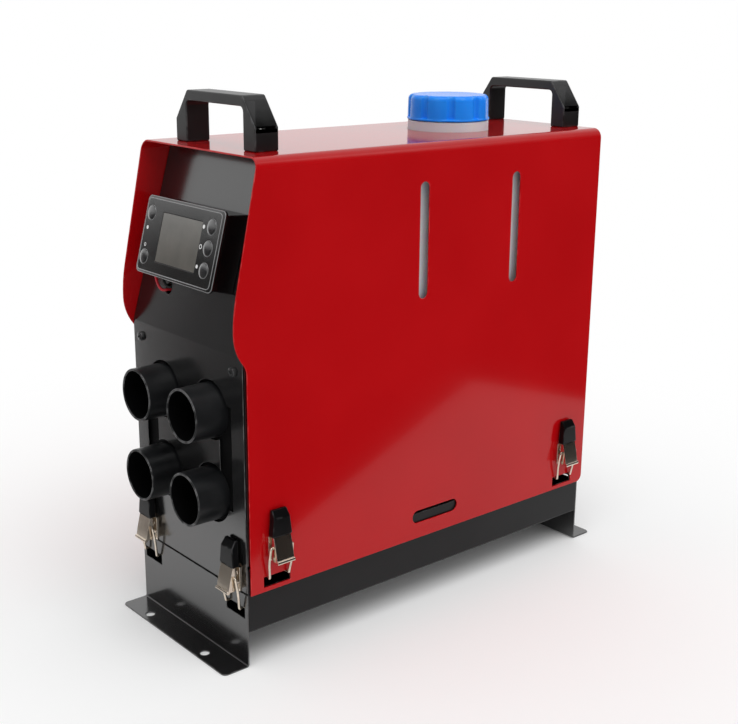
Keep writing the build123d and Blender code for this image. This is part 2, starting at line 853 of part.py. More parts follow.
with BuildPart() as tank_cap:
    with BuildSketch(Plane.XY.offset(cap_bottom_z)):
        with Locations((0, cap_y)):
            Circle(cap_radius)
            with PolarLocations(cap_radius + cap_groove_radius - cap_groove_depth, cap_groove_count):
                Circle(cap_groove_radius, mode=Mode.SUBTRACT)
    extrude(amount=cap_height)
    chamfer(faces().sort_by(Axis.Z)[-1].edges(), length=cap_edge)
    with BuildSketch(Plane.XY.offset(cap_bottom_z)):
        with Locations((0, cap_y)):
            Circle(cap_bore_radius)
    extrude(amount=cap_height - cap_top, mode=Mode.SUBTRACT)
keep(tank_cap.part, "tank_cap")

with BuildPart() as cap_seal:
    with BuildSketch(Plane.XY.offset(cap_top_z - cap_top - seal_height)):
        with Locations((0, cap_y)):
            Circle(cap_bore_radius - seal_side_gap)
            Circle(neck_bore_radius, mode=Mode.SUBTRACT)
    extrude(amount=seal_height)
keep(cap_seal.part, "cap_seal")


# ---------------------------------------------------------------------------------------------------
# Controller
# ---------------------------------------------------------------------------------------------------

housing_mid_up = (housing_top - housing_bottom) / 2
room_half_width = housing_half_width - housing_wall
room_height = housing_top + housing_bottom - 2 * housing_wall
board_back = board_depth + board_thickness

with BuildPart() as controller_housing:
    with BuildSketch(Plane.YZ):
        top_back = housing_top + housing_top_rise
        with BuildLine():
            Polyline(
                on_face(housing_top, bezel_thickness),
                on_face(top_back, panel_depth(top_back)),
                on_face(-housing_bottom, panel_depth(-housing_bottom)),
                on_face(-housing_bottom, bezel_thickness),
                close=True,
            )
        make_face()
    extrude(amount=housing_half_width, both=True)
    with BuildSketch(face_plane.offset(-bezel_thickness)):
        with Locations((0, housing_mid_up)):
            Rectangle(2 * room_half_width, room_height)
    extrude(amount=bezel_thickness - board_back, mode=Mode.SUBTRACT)
    with BuildSketch(face_plane.offset(-board_back)):
        with Locations((0, housing_mid_up)):
            Rectangle(2 * (room_half_width - housing_wall), room_height - 2 * housing_wall)
    extrude(amount=board_back + housing_wall - panel_depth(0), mode=Mode.SUBTRACT)
    exit_y, exit_z = on_face(-housing_bottom, wire_exit_depth)
    face_up = (0, sin(radians(controller_lean)), cos(radians(controller_lean)))
    with BuildSketch(Plane(origin=(wire_exit_x, exit_y, exit_z), x_dir=(1, 0, 0), z_dir=face_up)):
        Rectangle(wire_exit_width, wire_exit_length)
    extrude(amount=2 * housing_wall, both=True, mode=Mode.SUBTRACT)
keep(controller_housing.part, "controller_housing")

display_recess = display_sink + display_thickness

with BuildPart() as controller_bezel:
    with BuildSketch(face_plane.offset(-bezel_thickness)):
        RectangleRounded(bezel_width, bezel_height, bezel_corner_radius)
    extrude(amount=bezel_thickness - bezel_slope_depth)
    with BuildSketch(face_plane.offset(-bezel_slope_depth)):
        RectangleRounded(bezel_width, bezel_height, bezel_corner_radius)
    with BuildSketch(face_plane):
        RectangleRounded(
            bezel_width - 2 * bezel_slope_width,
            bezel_height - 2 * bezel_slope_height,
            bezel_corner_radius,
        )
    loft()
    with BuildSketch(face_plane.offset(-bezel_thickness)):
        with Locations(*button_spots.values()):
            Circle(button_radius + button_gap)
        Rectangle(2 * (display_half_width - display_ledge), 2 * (display_half_height - display_ledge))
        with Locations((snap_top_x, bezel_height / 2), (snap_bottom_x, -bezel_height / 2)):
            Rectangle(snap_width, snap_depth)
    extrude(amount=bezel_thickness, mode=Mode.SUBTRACT)
    with BuildSketch(face_plane.offset(-display_recess)):
        Rectangle(2 * (display_half_width + part_gap), 2 * (display_half_height + part_gap))
    extrude(amount=display_recess, mode=Mode.SUBTRACT)
keep(controller_bezel.part, "controller_bezel")

with BuildPart() as display_window:
    with BuildSketch(face_plane.offset(-display_recess)):
        Rectangle(2 * display_half_width, 2 * display_half_height)
    extrude(amount=display_thickness)
keep(display_window.part, "display_window")

button_back = board_depth - switch_height - button_travel - part_gap
button_cap_back = bezel_thickness - button_travel - part_gap

for name, spot in button_spots.items():
    with BuildPart() as button:
        with BuildSketch(face_plane.offset(button_proud)):
            with Locations(spot):
                Circle(button_radius)
        extrude(amount=-button_proud - button_cap_back)
        fillet(faces().sort_by(Axis.Y)[0].edges(), radius=button_edge)
        with BuildSketch(face_plane.offset(-button_cap_back)):
            with Locations(spot):
                Circle(button_stem_radius)
        extrude(amount=button_cap_back - button_back)
        with BuildSketch(face_plane.offset(-bezel_thickness - part_gap / 2)):
            with Locations(spot):
                Rectangle(button_bar_width, button_bar_length)
        extrude(amount=-button_bar)
    keep(button.part, name)

with BuildPart() as controller_board:
    with BuildSketch(face_plane.offset(-board_back)):
        with Locations((0, housing_mid_up)):
            Rectangle(2 * (room_half_width - part_gap), room_height - 2 * part_gap)
    extrude(amount=board_thickness)
    with BuildSketch(face_plane.offset(-board_depth)):
        with Locations(*button_spots.values()):
            Rectangle(switch_width, switch_width)
    extrude(amount=switch_height - part_gap)
    with BuildSketch(face_plane.offset(-board_depth)):
        block_inset = display_ledge + display_block_inset
        Rectangle(2 * (display_half_width - block_inset), 2 * (display_half_height - block_inset))
    extrude(amount=board_depth - display_recess - 2 * part_gap)
keep(controller_board.part, "controller_board")


def tube(points, bend_radius, radius):
    """Round wire or hose along straight runs with tangent bends."""
    with BuildPart() as swept:
        with BuildLine() as route:
            FilletPolyline(*points, radius=bend_radius)
        with BuildSketch(Plane(origin=route.line @ 0, z_dir=route.line % 0)):
            Circle(radius)
        sweep()
    return swept.part


def placed(points):
    """Points given by their distance behind the cover's front edge, as points in the heater's frame."""
    return [(x, behind(distance), z) for x, distance, z in points]


with BuildPart() as controller_wires:
    add(tube(placed(red_wire), wire_bend_radius, wire_radius))
    add(tube(placed(black_wire), wire_bend_radius, wire_radius))
keep(controller_wires.part, "controller_wires")


# ---------------------------------------------------------------------------------------------------
# Draw latches: each piece is made once in the latch's own frame, then placed six times
# ---------------------------------------------------------------------------------------------------

with BuildPart() as latch_base:
    with BuildSketch(latch_side):
        with Locations((latch_sheet / 2, (latch_base_bottom + latch_base_top) / 2)):
            Rectangle(latch_sheet, latch_base_top - latch_base_bottom)
    extrude(amount=latch_base_half_width, both=True)
    for side in (-1, 1):
        with BuildSketch(latch_side.offset(side * ear_half_spacing)):
            with Locations((pivot_out / 2, 0)):
                Rectangle(pivot_out, 2 * ear_radius)
            with Locations((pivot_out, 0)):
                Circle(ear_radius)
        extrude(amount=-side * latch_sheet)
    with BuildSketch(latch_side):
        with Locations((pivot_out, 0)):
            Circle(pivot_radius)
    extrude(amount=lever_half_width + lever_gap, both=True)
    with BuildSketch(Plane.XZ):
        with Locations(*rivet_spots):
            Circle(rivet_radius + screw_clearance)
    extrude(amount=2 * latch_sheet, mode=Mode.SUBTRACT)

with BuildPart() as latch_lever:
    with BuildSketch(latch_side):
        with BuildLine():
            Polyline(lever_foot, lever_knee, lever_neck)
            offset(amount=lever_sheet, side=Side.LEFT)
        make_face()
    extrude(amount=lever_half_width, both=True)
    with BuildSketch(latch_side):
        with BuildLine():
            Polyline(lever_knee, lever_neck, lever_tongue_root, lever_tongue_end)
            offset(amount=lever_sheet, side=Side.LEFT)
        make_face()
    extrude(amount=lever_tongue_half_width, both=True)
    for side in (-1, 1):
        with BuildSketch(latch_side.offset(side * lever_half_width)):
            with BuildLine():
                Polyline(
                    lever_foot,
                    lever_knee,
                    lever_neck,
                    (lever_neck[0] - cheek_margin, lever_neck[1]),
                    (bail_pivot[0] - cheek_margin, bail_pivot[1]),
                    (pivot_out - cheek_margin, 0),
                    (pivot_out, -cheek_margin),
                    close=True,
                )
            make_face()
            with Locations((pivot_out, 0)):
                Circle(cheek_margin)
                Circle(pivot_radius + pivot_clearance, mode=Mode.SUBTRACT)
            with Locations(bail_pivot):
                Circle(bail_wire_radius + bail_clearance, mode=Mode.SUBTRACT)
        extrude(amount=-side * lever_sheet)
    with BuildSketch(latch_side):
        with Locations(lever_foot):
            Circle(lever_roll_radius)
    extrude(amount=lever_half_width, both=True)

with BuildPart() as latch_grip:
    slot_back = lever_sheet + 2 * grip_slot_gap
    with BuildSketch(latch_side):
        with BuildLine():
            Polyline(*grip_outline, close=True)
        make_face()
    extrude(amount=grip_half_width, both=True)
    with BuildSketch(Plane.XZ):
        grip_bottom, grip_top = grip_outline[0][1], grip_outline[-1][1]
        with BuildLine():
            Polyline(
                (-grip_half_width, grip_bottom),
                (-grip_top_half_width, grip_top),
                (grip_top_half_width, grip_top),
                (grip_half_width, grip_bottom),
                close=True,
            )
        make_face()
    extrude(amount=2 * grip_half_width, both=True, mode=Mode.INTERSECT)
    fillet(edges().filter_by(Axis.X).group_by(Axis.Z)[-1], radius=grip_edge_radius)
    with BuildSketch(latch_side):
        with BuildLine():
            Polyline(
                (lever_neck[0] + grip_slot_gap, lever_neck[1]),
                (lever_tongue_root[0] + grip_slot_gap, lever_tongue_root[1]),
                (lever_tongue_end[0] + grip_slot_gap, lever_tongue_end[1] + grip_slot_gap),
                (lever_tongue_end[0] - slot_back, lever_tongue_end[1] + grip_slot_gap),
                (lever_tongue_root[0] - slot_back, lever_tongue_root[1]),
                (lever_neck[0] - slot_back, lever_neck[1]),
                close=True,
            )
        make_face()
    extrude(amount=lever_tongue_half_width + grip_slot_gap, both=True, mode=Mode.SUBTRACT)

stub_inner = lever_half_width - lever_sheet
bail_points = [
    (stub_inner, *bail_pivot),
    (bail_half_width, *bail_pivot),
    (bail_hook_half_width, *bail_hook_corner),
    (bail_hook_half_width, bail_hook_end, bail_hook_corner[1]),
]
bail_points += [(-across, out, up) for across, out, up in reversed(bail_points)]
latch_bail = tube([(across, -out, up) for across, out, up in bail_points], bail_bend_radius, bail_wire_radius)

for name, place in latch_places.items():
    keep(latch_lever.part.moved(place), f"latch_lever_{name}")
    keep(latch_grip.part.moved(place), f"latch_grip_{name}")
    keep(latch_bail.moved(place), f"latch_bail_{name}")

with BuildPart() as latch_bases:
    for place in latch_places.values():
        add(latch_base.part.moved(place))
keep(latch_bases.part, "latch_bases")

with BuildPart() as latch_rivets:
    for place in latch_places.values():
        wall = Plane(place)
        rivet_plane = Plane(origin=wall.origin, x_dir=wall.x_dir, z_dir=-wall.y_dir)
        with BuildSketch(rivet_plane.offset(latch_sheet)):
            with Locations(*rivet_spots):
                Circle(rivet_head_radius)
        extrude(amount=rivet_head_height)
        with BuildSketch(rivet_plane.offset(-sheet)):
            with Locations(*rivet_spots):
                Circle(rivet_radius)
        extrude(amount=sheet + latch_sheet)
        with BuildSketch(rivet_plane.offset(-sheet)):
            with Locations(*rivet_spots):
                Circle(rivet_head_radius)
        extrude(amount=-rivet_head_height)
keep(latch_rivets.part, "latch_rivets")


# ---------------------------------------------------------------------------------------------------
# Heater unit inside the base
# ---------------------------------------------------------------------------------------------------

bracket_front_y = behind(bracket_front_distance)
bracket_rear_y = ahead(bracket_rear_inset)
bracket_half_width = panel_half_width - sheet - bracket_side_gap
bracket_leg_x = bracket_half_width - bracket_leg_inset
fuel_spot = (tank_outlet_x, ahead(fuel_boss_inset))

with BuildPart() as heater_bracket:
    leg_height = bracket_top_z - tray_top_z
    with BuildSketch(Plane.XZ.offset(-bracket_rear_y)):
        with Locations((0, bracket_top_z - bracket_sheet / 2)):
            Rectangle(2 * bracket_half_width, bracket_sheet)
        for side in (-1, 1):
            with Locations((side * (bracket_leg_x + bracket_sheet / 2), tray_top_z + leg_height / 2)):
                Rectangle(bracket_sheet, leg_height)
            with Locations((side * (bracket_leg_x + bracket_leg_inset / 2), tray_top_z + bracket_sheet / 2)):
                Rectangle(bracket_leg_inset, bracket_sheet)
    extrude(amount=bracket_rear_y - bracket_front_y)
    with BuildSketch(Plane.XY.offset(bracket_top_z - bracket_sheet)):
        with Locations(*stub_spots):
            Circle(stub_radius + stub_gap)
        with Locations(fuel_spot):
            Circle(hose_radius + stub_gap)
    extrude(amount=bracket_sheet, mode=Mode.SUBTRACT)
keep(heater_bracket.part, "heater_bracket")

with BuildPart() as heater_casing:
    casing_height = casing_top_z - bracket_top_z
    with BuildSketch(Plane.XZ.offset(-casing_rear_y)):
        with Locations((0, casing_mid_z)):
            RectangleRounded(2 * casing_half_width, casing_height, casing_corner_radius)
            RectangleRounded(
                2 * (casing_half_width - casing_wall),
                casing_height - 2 * casing_wall,
                casing_corner_radius - casing_wall,
                mode=Mode.SUBTRACT,
            )
    extrude(amount=casing_rear_y - casing_front_y)
    with BuildSketch(Plane.XY.offset(bracket_top_z)):
        with Locations(*stub_spots):
            Circle(stub_radius + stub_gap)
        with Locations(fuel_spot):
            Circle(hose_radius + stub_gap)
    extrude(amount=casing_wall, mode=Mode.SUBTRACT)
    board_mid_y = ahead(control_board_front_inset - control_board_length / 2)
    post_x = control_board_half_width - post_radius
    post_y = control_board_length / 2 - post_radius
    post_spots = [(x, board_mid_y + y) for x in (-post_x, post_x) for y in (-post_y, post_y)]
    with BuildSketch(Plane.XY.offset(casing_top_z - casing_wall)):
        with Locations(*post_spots):
            Circle(post_radius)
    extrude(amount=-post_height)
keep(heater_casing.part, "heater_casing")

exchanger_front_y = behind(exchanger_front_distance)
exchanger_rear_y = ahead(exchanger_rear_inset)
fin_front_y = behind(fin_front_distance)
fin_rear_y = ahead(fin_rear_inset)
pad_front_y = behind(pad_front_distance)
axis_z = casing_mid_z
plug_spot = (0, ahead(plug_inset))
plug_top_z = axis_z + fin_radius + plug_boss_rise

with BuildPart() as heat_exchanger:
    with BuildSketch(Plane.XZ.offset(-exchanger_rear_y)):
        with Locations((0, axis_z)):
            Circle(exchanger_radius)
    extrude(amount=exchanger_rear_y - exchanger_front_y)
    fillet(edges().group_by(Axis.Y)[0], radius=exchanger_nose_radius)
    with BuildSketch(Plane.XZ.offset(-fin_rear_y)):
        with Locations((0, axis_z)):
            with PolarLocations(fin_radius / 2, fin_count):
                Rectangle(fin_radius, fin_thickness)
    extrude(amount=fin_rear_y - fin_front_y)
    with BuildSketch(Plane.XY.offset(casing_floor_z)):
        with Locations((0, (pad_front_y + fin_rear_y) / 2)):
            Rectangle(2 * pad_half_width, fin_rear_y - pad_front_y)
    extrude(amount=axis_z - casing_floor_z)
    with BuildSketch(Plane.XY.offset(fuel_boss_z)):
        with Locations(fuel_spot):
            Circle(fuel_boss_radius)
    extrude(amount=fuel_boss_height)
    with BuildSketch(Plane.XY.offset(axis_z)):
        with Locations(plug_spot):
            Circle(plug_boss_radius)
    extrude(amount=fin_radius + plug_boss_rise)
    with BuildSketch(Plane.XY.offset(stub_bottom_z)):
        with Locations(*stub_spots):
            Circle(stub_radius)
    extrude(amount=casing_floor_z - stub_bottom_z + casing_wall)
    with BuildSketch(Plane.XY.offset(stub_bottom_z)):
        with Locations(*stub_spots):
            Circle(stub_bore_radius)
    extrude(amount=stub_bore_depth, mode=Mode.SUBTRACT)
    with BuildSketch(Plane.XY.offset(plug_top_z)):
        with Locations(plug_spot):
            Circle(plug_radius + plug_gap)
    extrude(amount=-plug_depth - plug_gap, mode=Mode.SUBTRACT)
    with BuildSketch(Plane.XZ.offset(-exchanger_rear_y)):
        with Locations((0, axis_z)):
            Circle(wheel_room_radius)
    extrude(amount=wheel_room_depth, mode=Mode.SUBTRACT)
keep(heat_exchanger.part, "heat_exchanger")

with BuildPart() as glow_plug:
    with BuildSketch(Plane.XY.offset(plug_top_z - plug_depth)):
        with Locations(plug_spot):
            Circle(plug_radius)
    extrude(amount=plug_depth + plug_head_height + plug_terminal_height)
    with BuildSketch(Plane.XY.offset(plug_top_z)):
        with Locations(plug_spot):
            RegularPolygon(plug_boss_radius, 6)
    extrude(amount=plug_head_height)
keep(glow_plug.part, "glow_plug")

motor_rear_y = exchanger_rear_y + motor_flange + motor_length
fan_front_y = motor_rear_y + fan_gap
fan_rear_y = fan_front_y + fan_hub_depth
wheel_front_y = exchanger_rear_y - wheel_room_depth + wheel_front_gap

with BuildPart() as blower_motor:
    with BuildSketch(Plane.XZ.offset(-exchanger_rear_y)):
        with Locations((0, axis_z)):
            Circle(motor_flange_radius)
    extrude(amount=-motor_flange)
    with BuildSketch(Plane.XZ.offset(-exchanger_rear_y)):
        with Locations((0, axis_z)):
            Circle(motor_radius)
    extrude(amount=-motor_flange - motor_length)
    with BuildSketch(Plane.XZ.offset(-exchanger_rear_y)):
        with Locations((0, axis_z)):
            Circle(shaft_radius + shaft_gap)
    extrude(amount=-motor_flange - motor_length, mode=Mode.SUBTRACT)
keep(blower_motor.part, "blower_motor")

with BuildPart() as fan_wheel:
    with BuildSketch(Plane.XZ.offset(-fan_front_y)):
        with Locations((0, axis_z)):
            Circle(fan_hub_radius)
    extrude(amount=-fan_hub_depth)
    blade_length = fan_radius - fan_hub_radius + 2 * fan_blade_thickness
    blade_middle = fan_radius - blade_length / 2
    with Locations(Plane(origin=(0, fan_front_y + fan_hub_depth / 2, axis_z), z_dir=(0, -1, 0))):
        with PolarLocations(blade_middle, fan_blade_count):
            Box(blade_length, fan_blade_thickness, fan_hub_depth, rotation=(fan_blade_pitch, 0, 0))
    with BuildSketch(Plane.XZ.offset(-fan_rear_y)):
        with Locations((0, axis_z)):
            Circle(shaft_radius)
    extrude(amount=fan_rear_y - wheel_front_y)
keep(fan_wheel.part, "fan_wheel")

with BuildPart() as combustion_wheel:
    with BuildSketch(Plane.XZ.offset(-wheel_front_y)):
        with Locations((0, axis_z)):
            Circle(wheel_radius)
    extrude(amount=-wheel_disc)
    with BuildSketch(Plane.XZ.offset(-wheel_front_y - wheel_disc)):
        with Locations((0, axis_z)):
            Circle(wheel_hub_radius)
            with PolarLocations(wheel_vane_mid_radius, wheel_vane_count):
                Rectangle(wheel_vane_length, wheel_vane_thickness)
    extrude(amount=-wheel_vane_height)
    with BuildSketch(Plane.XZ.offset(-wheel_front_y)):
        with Locations((0, axis_z)):
            Circle(shaft_radius)
    extrude(amount=-wheel_disc - wheel_vane_height, mode=Mode.SUBTRACT)
keep(combustion_wheel.part, "combustion_wheel")

with BuildPart() as control_board:
    board_top_z = casing_top_z - casing_wall - post_height
    with BuildSketch(Plane.XY.offset(board_top_z)):
        with Locations((0, board_mid_y)):
            Rectangle(2 * control_board_half_width, control_board_length)
    extrude(amount=-board_thickness)
    with BuildSketch(Plane.XY.offset(board_top_z - board_thickness)):
        with Locations((connector_x, board_mid_y)):
            Rectangle(*connector_size)
        with Locations((relay_spot[0], board_mid_y + relay_spot[1])):
            Rectangle(*relay_size)
        with Locations((capacitor_x, board_mid_y)):
            Circle(capacitor_radius)
    extrude(amount=-board_part_height)
keep(control_board.part, "control_board")

pump_front_y = ahead(pump_front_inset)
pump_rear_y = ahead(pump_rear_inset)

with BuildPart() as fuel_pump:
    with BuildSketch(Plane.XZ.offset(-pump_rear_y)):
        with Locations((tank_outlet_x, pump_z)):
            Circle(pump_radius)
    extrude(amount=pump_rear_y - pump_front_y)
    with BuildSketch(Plane.XZ.offset(-pump_rear_y - pump_barb_length)):
        with Locations((tank_outlet_x, pump_z)):
            Circle(hose_radius)
    extrude(amount=pump_rear_y - pump_front_y + 2 * pump_barb_length)
    with BuildSketch(Plane.XY.offset(tray_top_z)):
        with Locations((tank_outlet_x, (pump_front_y + pump_rear_y) / 2)):
            Rectangle(pump_foot_width, pump_foot_length)
    extrude(amount=pump_z - tray_top_z)
keep(fuel_pump.part, "fuel_pump")

with BuildPart() as fuel_hose:
    supply = [
        (*tank_outlet_spot, shelf_top_z - tank_outlet_length - hose_gap),
        (*tank_outlet_spot, pump_z),
        (tank_outlet_x, pump_rear_y + pump_barb_length + hose_gap, pump_z),
    ]
    delivery = [
        (tank_outlet_x, pump_front_y - pump_barb_length - hose_gap, pump_z),
        (*fuel_spot, pump_z),
        (*fuel_spot, fuel_boss_z - hose_gap),
    ]
    add(tube(supply, hose_bend_radius, hose_radius))
    add(tube(delivery, hose_bend_radius, hose_radius))
keep(fuel_hose.part, "fuel_hose")

with BuildPart() as power_gland:
    gland_plane = Plane(origin=(gland_x, rear_panel_y, gland_z), x_dir=(1, 0, 0), z_dir=(0, 1, 0))
    with BuildSketch(gland_plane):
        RegularPolygon(gland_flange_radius, 6)
    extrude(amount=gland_flange)
    with BuildSketch(gland_plane.offset(gland_flange)):
        Circle(gland_thread_radius)
    extrude(amount=gland_dome_length)
    fillet(faces().sort_by(Axis.Y)[-1].edges(), radius=gland_dome_radius)
    with BuildSketch(gland_plane.offset(-sheet - gland_nut)):
        Circle(gland_thread_radius)
    extrude(amount=sheet + gland_nut)
    with BuildSketch(gland_plane.offset(-sheet - gland_nut)):
        RegularPolygon(gland_flange_radius, 6)
    extrude(amount=gland_nut)
    with BuildSketch(gland_plane.offset(-sheet - gland_nut)):
        Circle(gland_bore_radius)
    extrude(amount=sheet + gland_nut + gland_flange + gland_dome_length, mode=Mode.SUBTRACT)
keep(power_gland.part, "power_gland")
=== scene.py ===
import json
import math

import bmesh
import bpy
from mathutils import Matrix, Vector


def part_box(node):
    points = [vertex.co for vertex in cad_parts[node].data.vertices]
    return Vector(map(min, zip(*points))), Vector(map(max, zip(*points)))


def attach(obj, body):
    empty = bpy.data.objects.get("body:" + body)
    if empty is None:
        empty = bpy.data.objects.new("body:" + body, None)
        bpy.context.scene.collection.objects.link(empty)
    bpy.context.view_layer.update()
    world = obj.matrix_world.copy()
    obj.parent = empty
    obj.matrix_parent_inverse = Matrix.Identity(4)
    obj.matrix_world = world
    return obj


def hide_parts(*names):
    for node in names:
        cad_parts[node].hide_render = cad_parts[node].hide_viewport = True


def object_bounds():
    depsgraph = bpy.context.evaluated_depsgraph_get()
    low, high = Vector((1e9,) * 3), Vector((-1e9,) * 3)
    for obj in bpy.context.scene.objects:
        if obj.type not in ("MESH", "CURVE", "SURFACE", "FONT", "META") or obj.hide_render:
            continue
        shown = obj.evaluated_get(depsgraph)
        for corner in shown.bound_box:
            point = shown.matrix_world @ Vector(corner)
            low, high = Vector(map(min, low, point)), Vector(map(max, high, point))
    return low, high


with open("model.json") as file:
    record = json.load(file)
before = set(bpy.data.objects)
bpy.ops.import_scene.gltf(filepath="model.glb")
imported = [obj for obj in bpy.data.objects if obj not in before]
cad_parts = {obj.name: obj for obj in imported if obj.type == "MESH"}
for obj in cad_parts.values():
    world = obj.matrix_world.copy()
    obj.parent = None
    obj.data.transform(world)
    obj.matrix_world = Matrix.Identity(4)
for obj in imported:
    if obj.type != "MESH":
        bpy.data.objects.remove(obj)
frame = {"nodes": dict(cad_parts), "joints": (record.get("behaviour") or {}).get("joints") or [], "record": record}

# Diesel air heater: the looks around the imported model. Metres, in the model's own frame.

scene = bpy.context.scene
cad_low, cad_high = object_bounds()
record = frame["record"]
slot_of = {row["node"]: row["material_slot"] for row in record["subparts"]}
body_of = {node: body for body, nodes in record["behaviour"]["bodies"].items() for node in nodes}
mount_of = {mount["name"]: mount for mount in record["mounts"]}
joint_of = {joint["name"]: joint for joint in frame["joints"]}
mm = 0.001
right = Vector((1, 0, 0))
forward = Vector((0, -1, 0))
up = Vector((0, 0, 1))


# ---------------------------------------------------------------------------------------------------
# Shader nodes and studio objects
# ---------------------------------------------------------------------------------------------------

def set_inputs(node, **values):
    """Set a node's inputs; an underscore stands for a space in an input's name."""
    for name, value in values.items():
        node.inputs[name.replace("_", " ")].default_value = value


def new_material(name):
    """A new material with its node tree and its main shader."""
    made = bpy.data.materials.new(name)
    made.use_nodes = True
    return made, made.node_tree, made.node_tree.nodes["Principled BSDF"]


def feed(tree, node, socket, value):
    """Give a node's input a number, a colour, or another node's output."""
    if isinstance(value, bpy.types.NodeSocket):
        tree.links.new(value, node.inputs[socket])
    else:
        node.inputs[socket].default_value = value


def maths(tree, operation, first, second):
    """The result of a Math node."""
    node = tree.nodes.new("ShaderNodeMath")
    node.operation = operation
    feed(tree, node, 0, first)
    feed(tree, node, 1, second)
    return node.outputs[0]


def remap(tree, value, source=(0, 1), target=(0, 1), smooth=False):
    """The result of a Map Range node."""
    node = tree.nodes.new("ShaderNodeMapRange")
    node.interpolation_type = "SMOOTHSTEP" if smooth else "LINEAR"
    set_inputs(node, From_Min=source[0], From_Max=source[1], To_Min=target[0], To_Max=target[1])
    feed(tree, node, "Value", value)
    return node.outputs["Result"]


def blended(tree, factor, first, second):
    """The result of a Mix node for colours."""
    node = tree.nodes.new("ShaderNodeMix")
    node.data_type = "RGBA"
    feed(tree, node, "Factor", factor)
    feed(tree, node, "A", first)
    feed(tree, node, "B", second)
    return node.outputs["Result"]


def noise(tree, vector, scale, detail):
    """The result of a Noise Texture node."""
    node = tree.nodes.new("ShaderNodeTexNoise")
    set_inputs(node, Scale=scale, Detail=detail)
    feed(tree, node, "Vector", vector)
    return node.outputs["Fac"]


def bumped(tree, height, depth, normal=None):
    """The normal that a Bump node gives."""
    node = tree.nodes.new("ShaderNodeBump")
    set_inputs(node, Strength=1.0, Distance=depth)
    feed(tree, node, "Height", height)
    if normal is not None:
        feed(tree, node, "Normal", normal)
    return node.outputs["Normal"]


def mix_shaders(tree, factor, first, second, output):
    """Send the mix of two shaders to the surface of an output node."""
    node = tree.nodes.new("ShaderNodeMixShader")
    for socket, value in enumerate((factor, first, second)):
        feed(tree, node, socket, value)
    feed(tree, output, "Surface", node.outputs[0])


def seen_ray(tree):
    """A factor that is 1 for camera, glossy and transmission rays."""
    rays = tree.nodes.new("ShaderNodeLightPath").outputs
    bounced = maths(tree, "MAXIMUM", rays["Is Glossy Ray"], rays["Is Transmission Ray"])
    return maths(tree, "MAXIMUM", rays["Is Camera Ray"], bounced)


def grey(shade):
    """A neutral colour."""
    return (shade, shade, shade, 1)


def mesh_object(name, made):
    """Link an object with the mesh of a bmesh."""
    data = bpy.data.meshes.new(name)
    made.to_mesh(data)
    made.free()
    thing = bpy.data.objects.new(name, data)
    scene.collection.objects.link(thing)
    return thing


# ---------------------------------------------------------------------------------------------------
# Camera, as solved from the straight edges in the photo
# ---------------------------------------------------------------------------------------------------

camera_place = Vector((0.7426, -0.6338, 0.4684))
camera_azimuth = math.radians(49.69)
camera_elevation = math.radians(16.18)
camera_roll = math.radians(0.49)
sensor_width = 36
focal_length = 59.77

camera_data = bpy.data.cameras.new("camera")
camera_data.sensor_fit = "HORIZONTAL"
camera_data.sensor_width = sensor_width
camera_data.lens = focal_length
camera = bpy.data.objects.new("camera", camera_data)
scene.collection.objects.link(camera)
back = Vector((
    math.sin(camera_azimuth) * math.cos(camera_elevation),
    -math.cos(camera_azimuth) * math.cos(camera_elevation),
    math.sin(camera_elevation),
))
turn = (-back).to_track_quat("-Z", "Y").to_matrix() @ Matrix.Rotation(camera_roll, 3, "Z")
camera.matrix_world = Matrix.Translation(camera_place) @ turn.to_4x4()
scene.camera = camera
scene.view_settings.view_transform = "Standard"


# ---------------------------------------------------------------------------------------------------
# Background, lamps and floor
# ---------------------------------------------------------------------------------------------------

sky_light = 0.62
sky_shown = 1.0

world = bpy.data.worlds.new("studio")
scene.world = world
world.use_nodes = True
sky = world.node_tree
lit = sky.nodes["Background"]
set_inputs(lit, Color=grey(1), Strength=sky_light)
shown = sky.nodes.new("ShaderNodeBackground")
set_inputs(shown, Color=grey(1), Strength=sky_shown)
mix_shaders(sky, seen_ray(sky), lit.outputs[0], shown.outputs[0], sky.nodes["World Output"])


def sun(name, direction, strength, spread):
    """A soft distant lamp that shines along the direction; spread is in degrees."""
    data = bpy.data.lights.new(name, "SUN")
    data.energy = strength
    data.angle = math.radians(spread)
    lamp = bpy.data.objects.new(name, data)
    lamp.rotation_euler = Vector(direction).to_track_quat("-Z", "Y").to_euler()
    scene.collection.objects.link(lamp)


sun("key", direction=(-0.35, 0.15, -0.88), strength=1.2, spread=50)
sun("fill", direction=(-0.78, -0.4, -0.35), strength=0.56, spread=70)

floor_radius = 14.0
floor_shade = 0.95
floor_fade = (0.2, 0.75)  # distances from the middle between which the floor turns into background

floor_disc = bmesh.new()
bmesh.ops.create_circle(floor_disc, cap_ends=True, segments=96, radius=floor_radius)
floor = mesh_object("floor", floor_disc)
paper, tree, paper_shader = new_material("floor_paper")
set_inputs(paper_shader, Base_Color=grey(floor_shade), Roughness=0.85, Specular_IOR_Level=0.1)
glow = tree.nodes.new("ShaderNodeEmission")
set_inputs(glow, Color=grey(1))
distance = tree.nodes.new("ShaderNodeVectorMath")
distance.operation = "LENGTH"
feed(tree, distance, 0, tree.nodes.new("ShaderNodeTexCoord").outputs["Object"])
faded = remap(tree, distance.outputs["Value"], floor_fade, smooth=True)
mix_shaders(tree, maths(tree, "MULTIPLY", faded, seen_ray(tree)), paper_shader.outputs[0], glow.outputs[0],
            tree.nodes["Material Output"])
floor.data.materials.append(paper)


solid_share = 0.999  # of a card's height, before its soft top is taken off


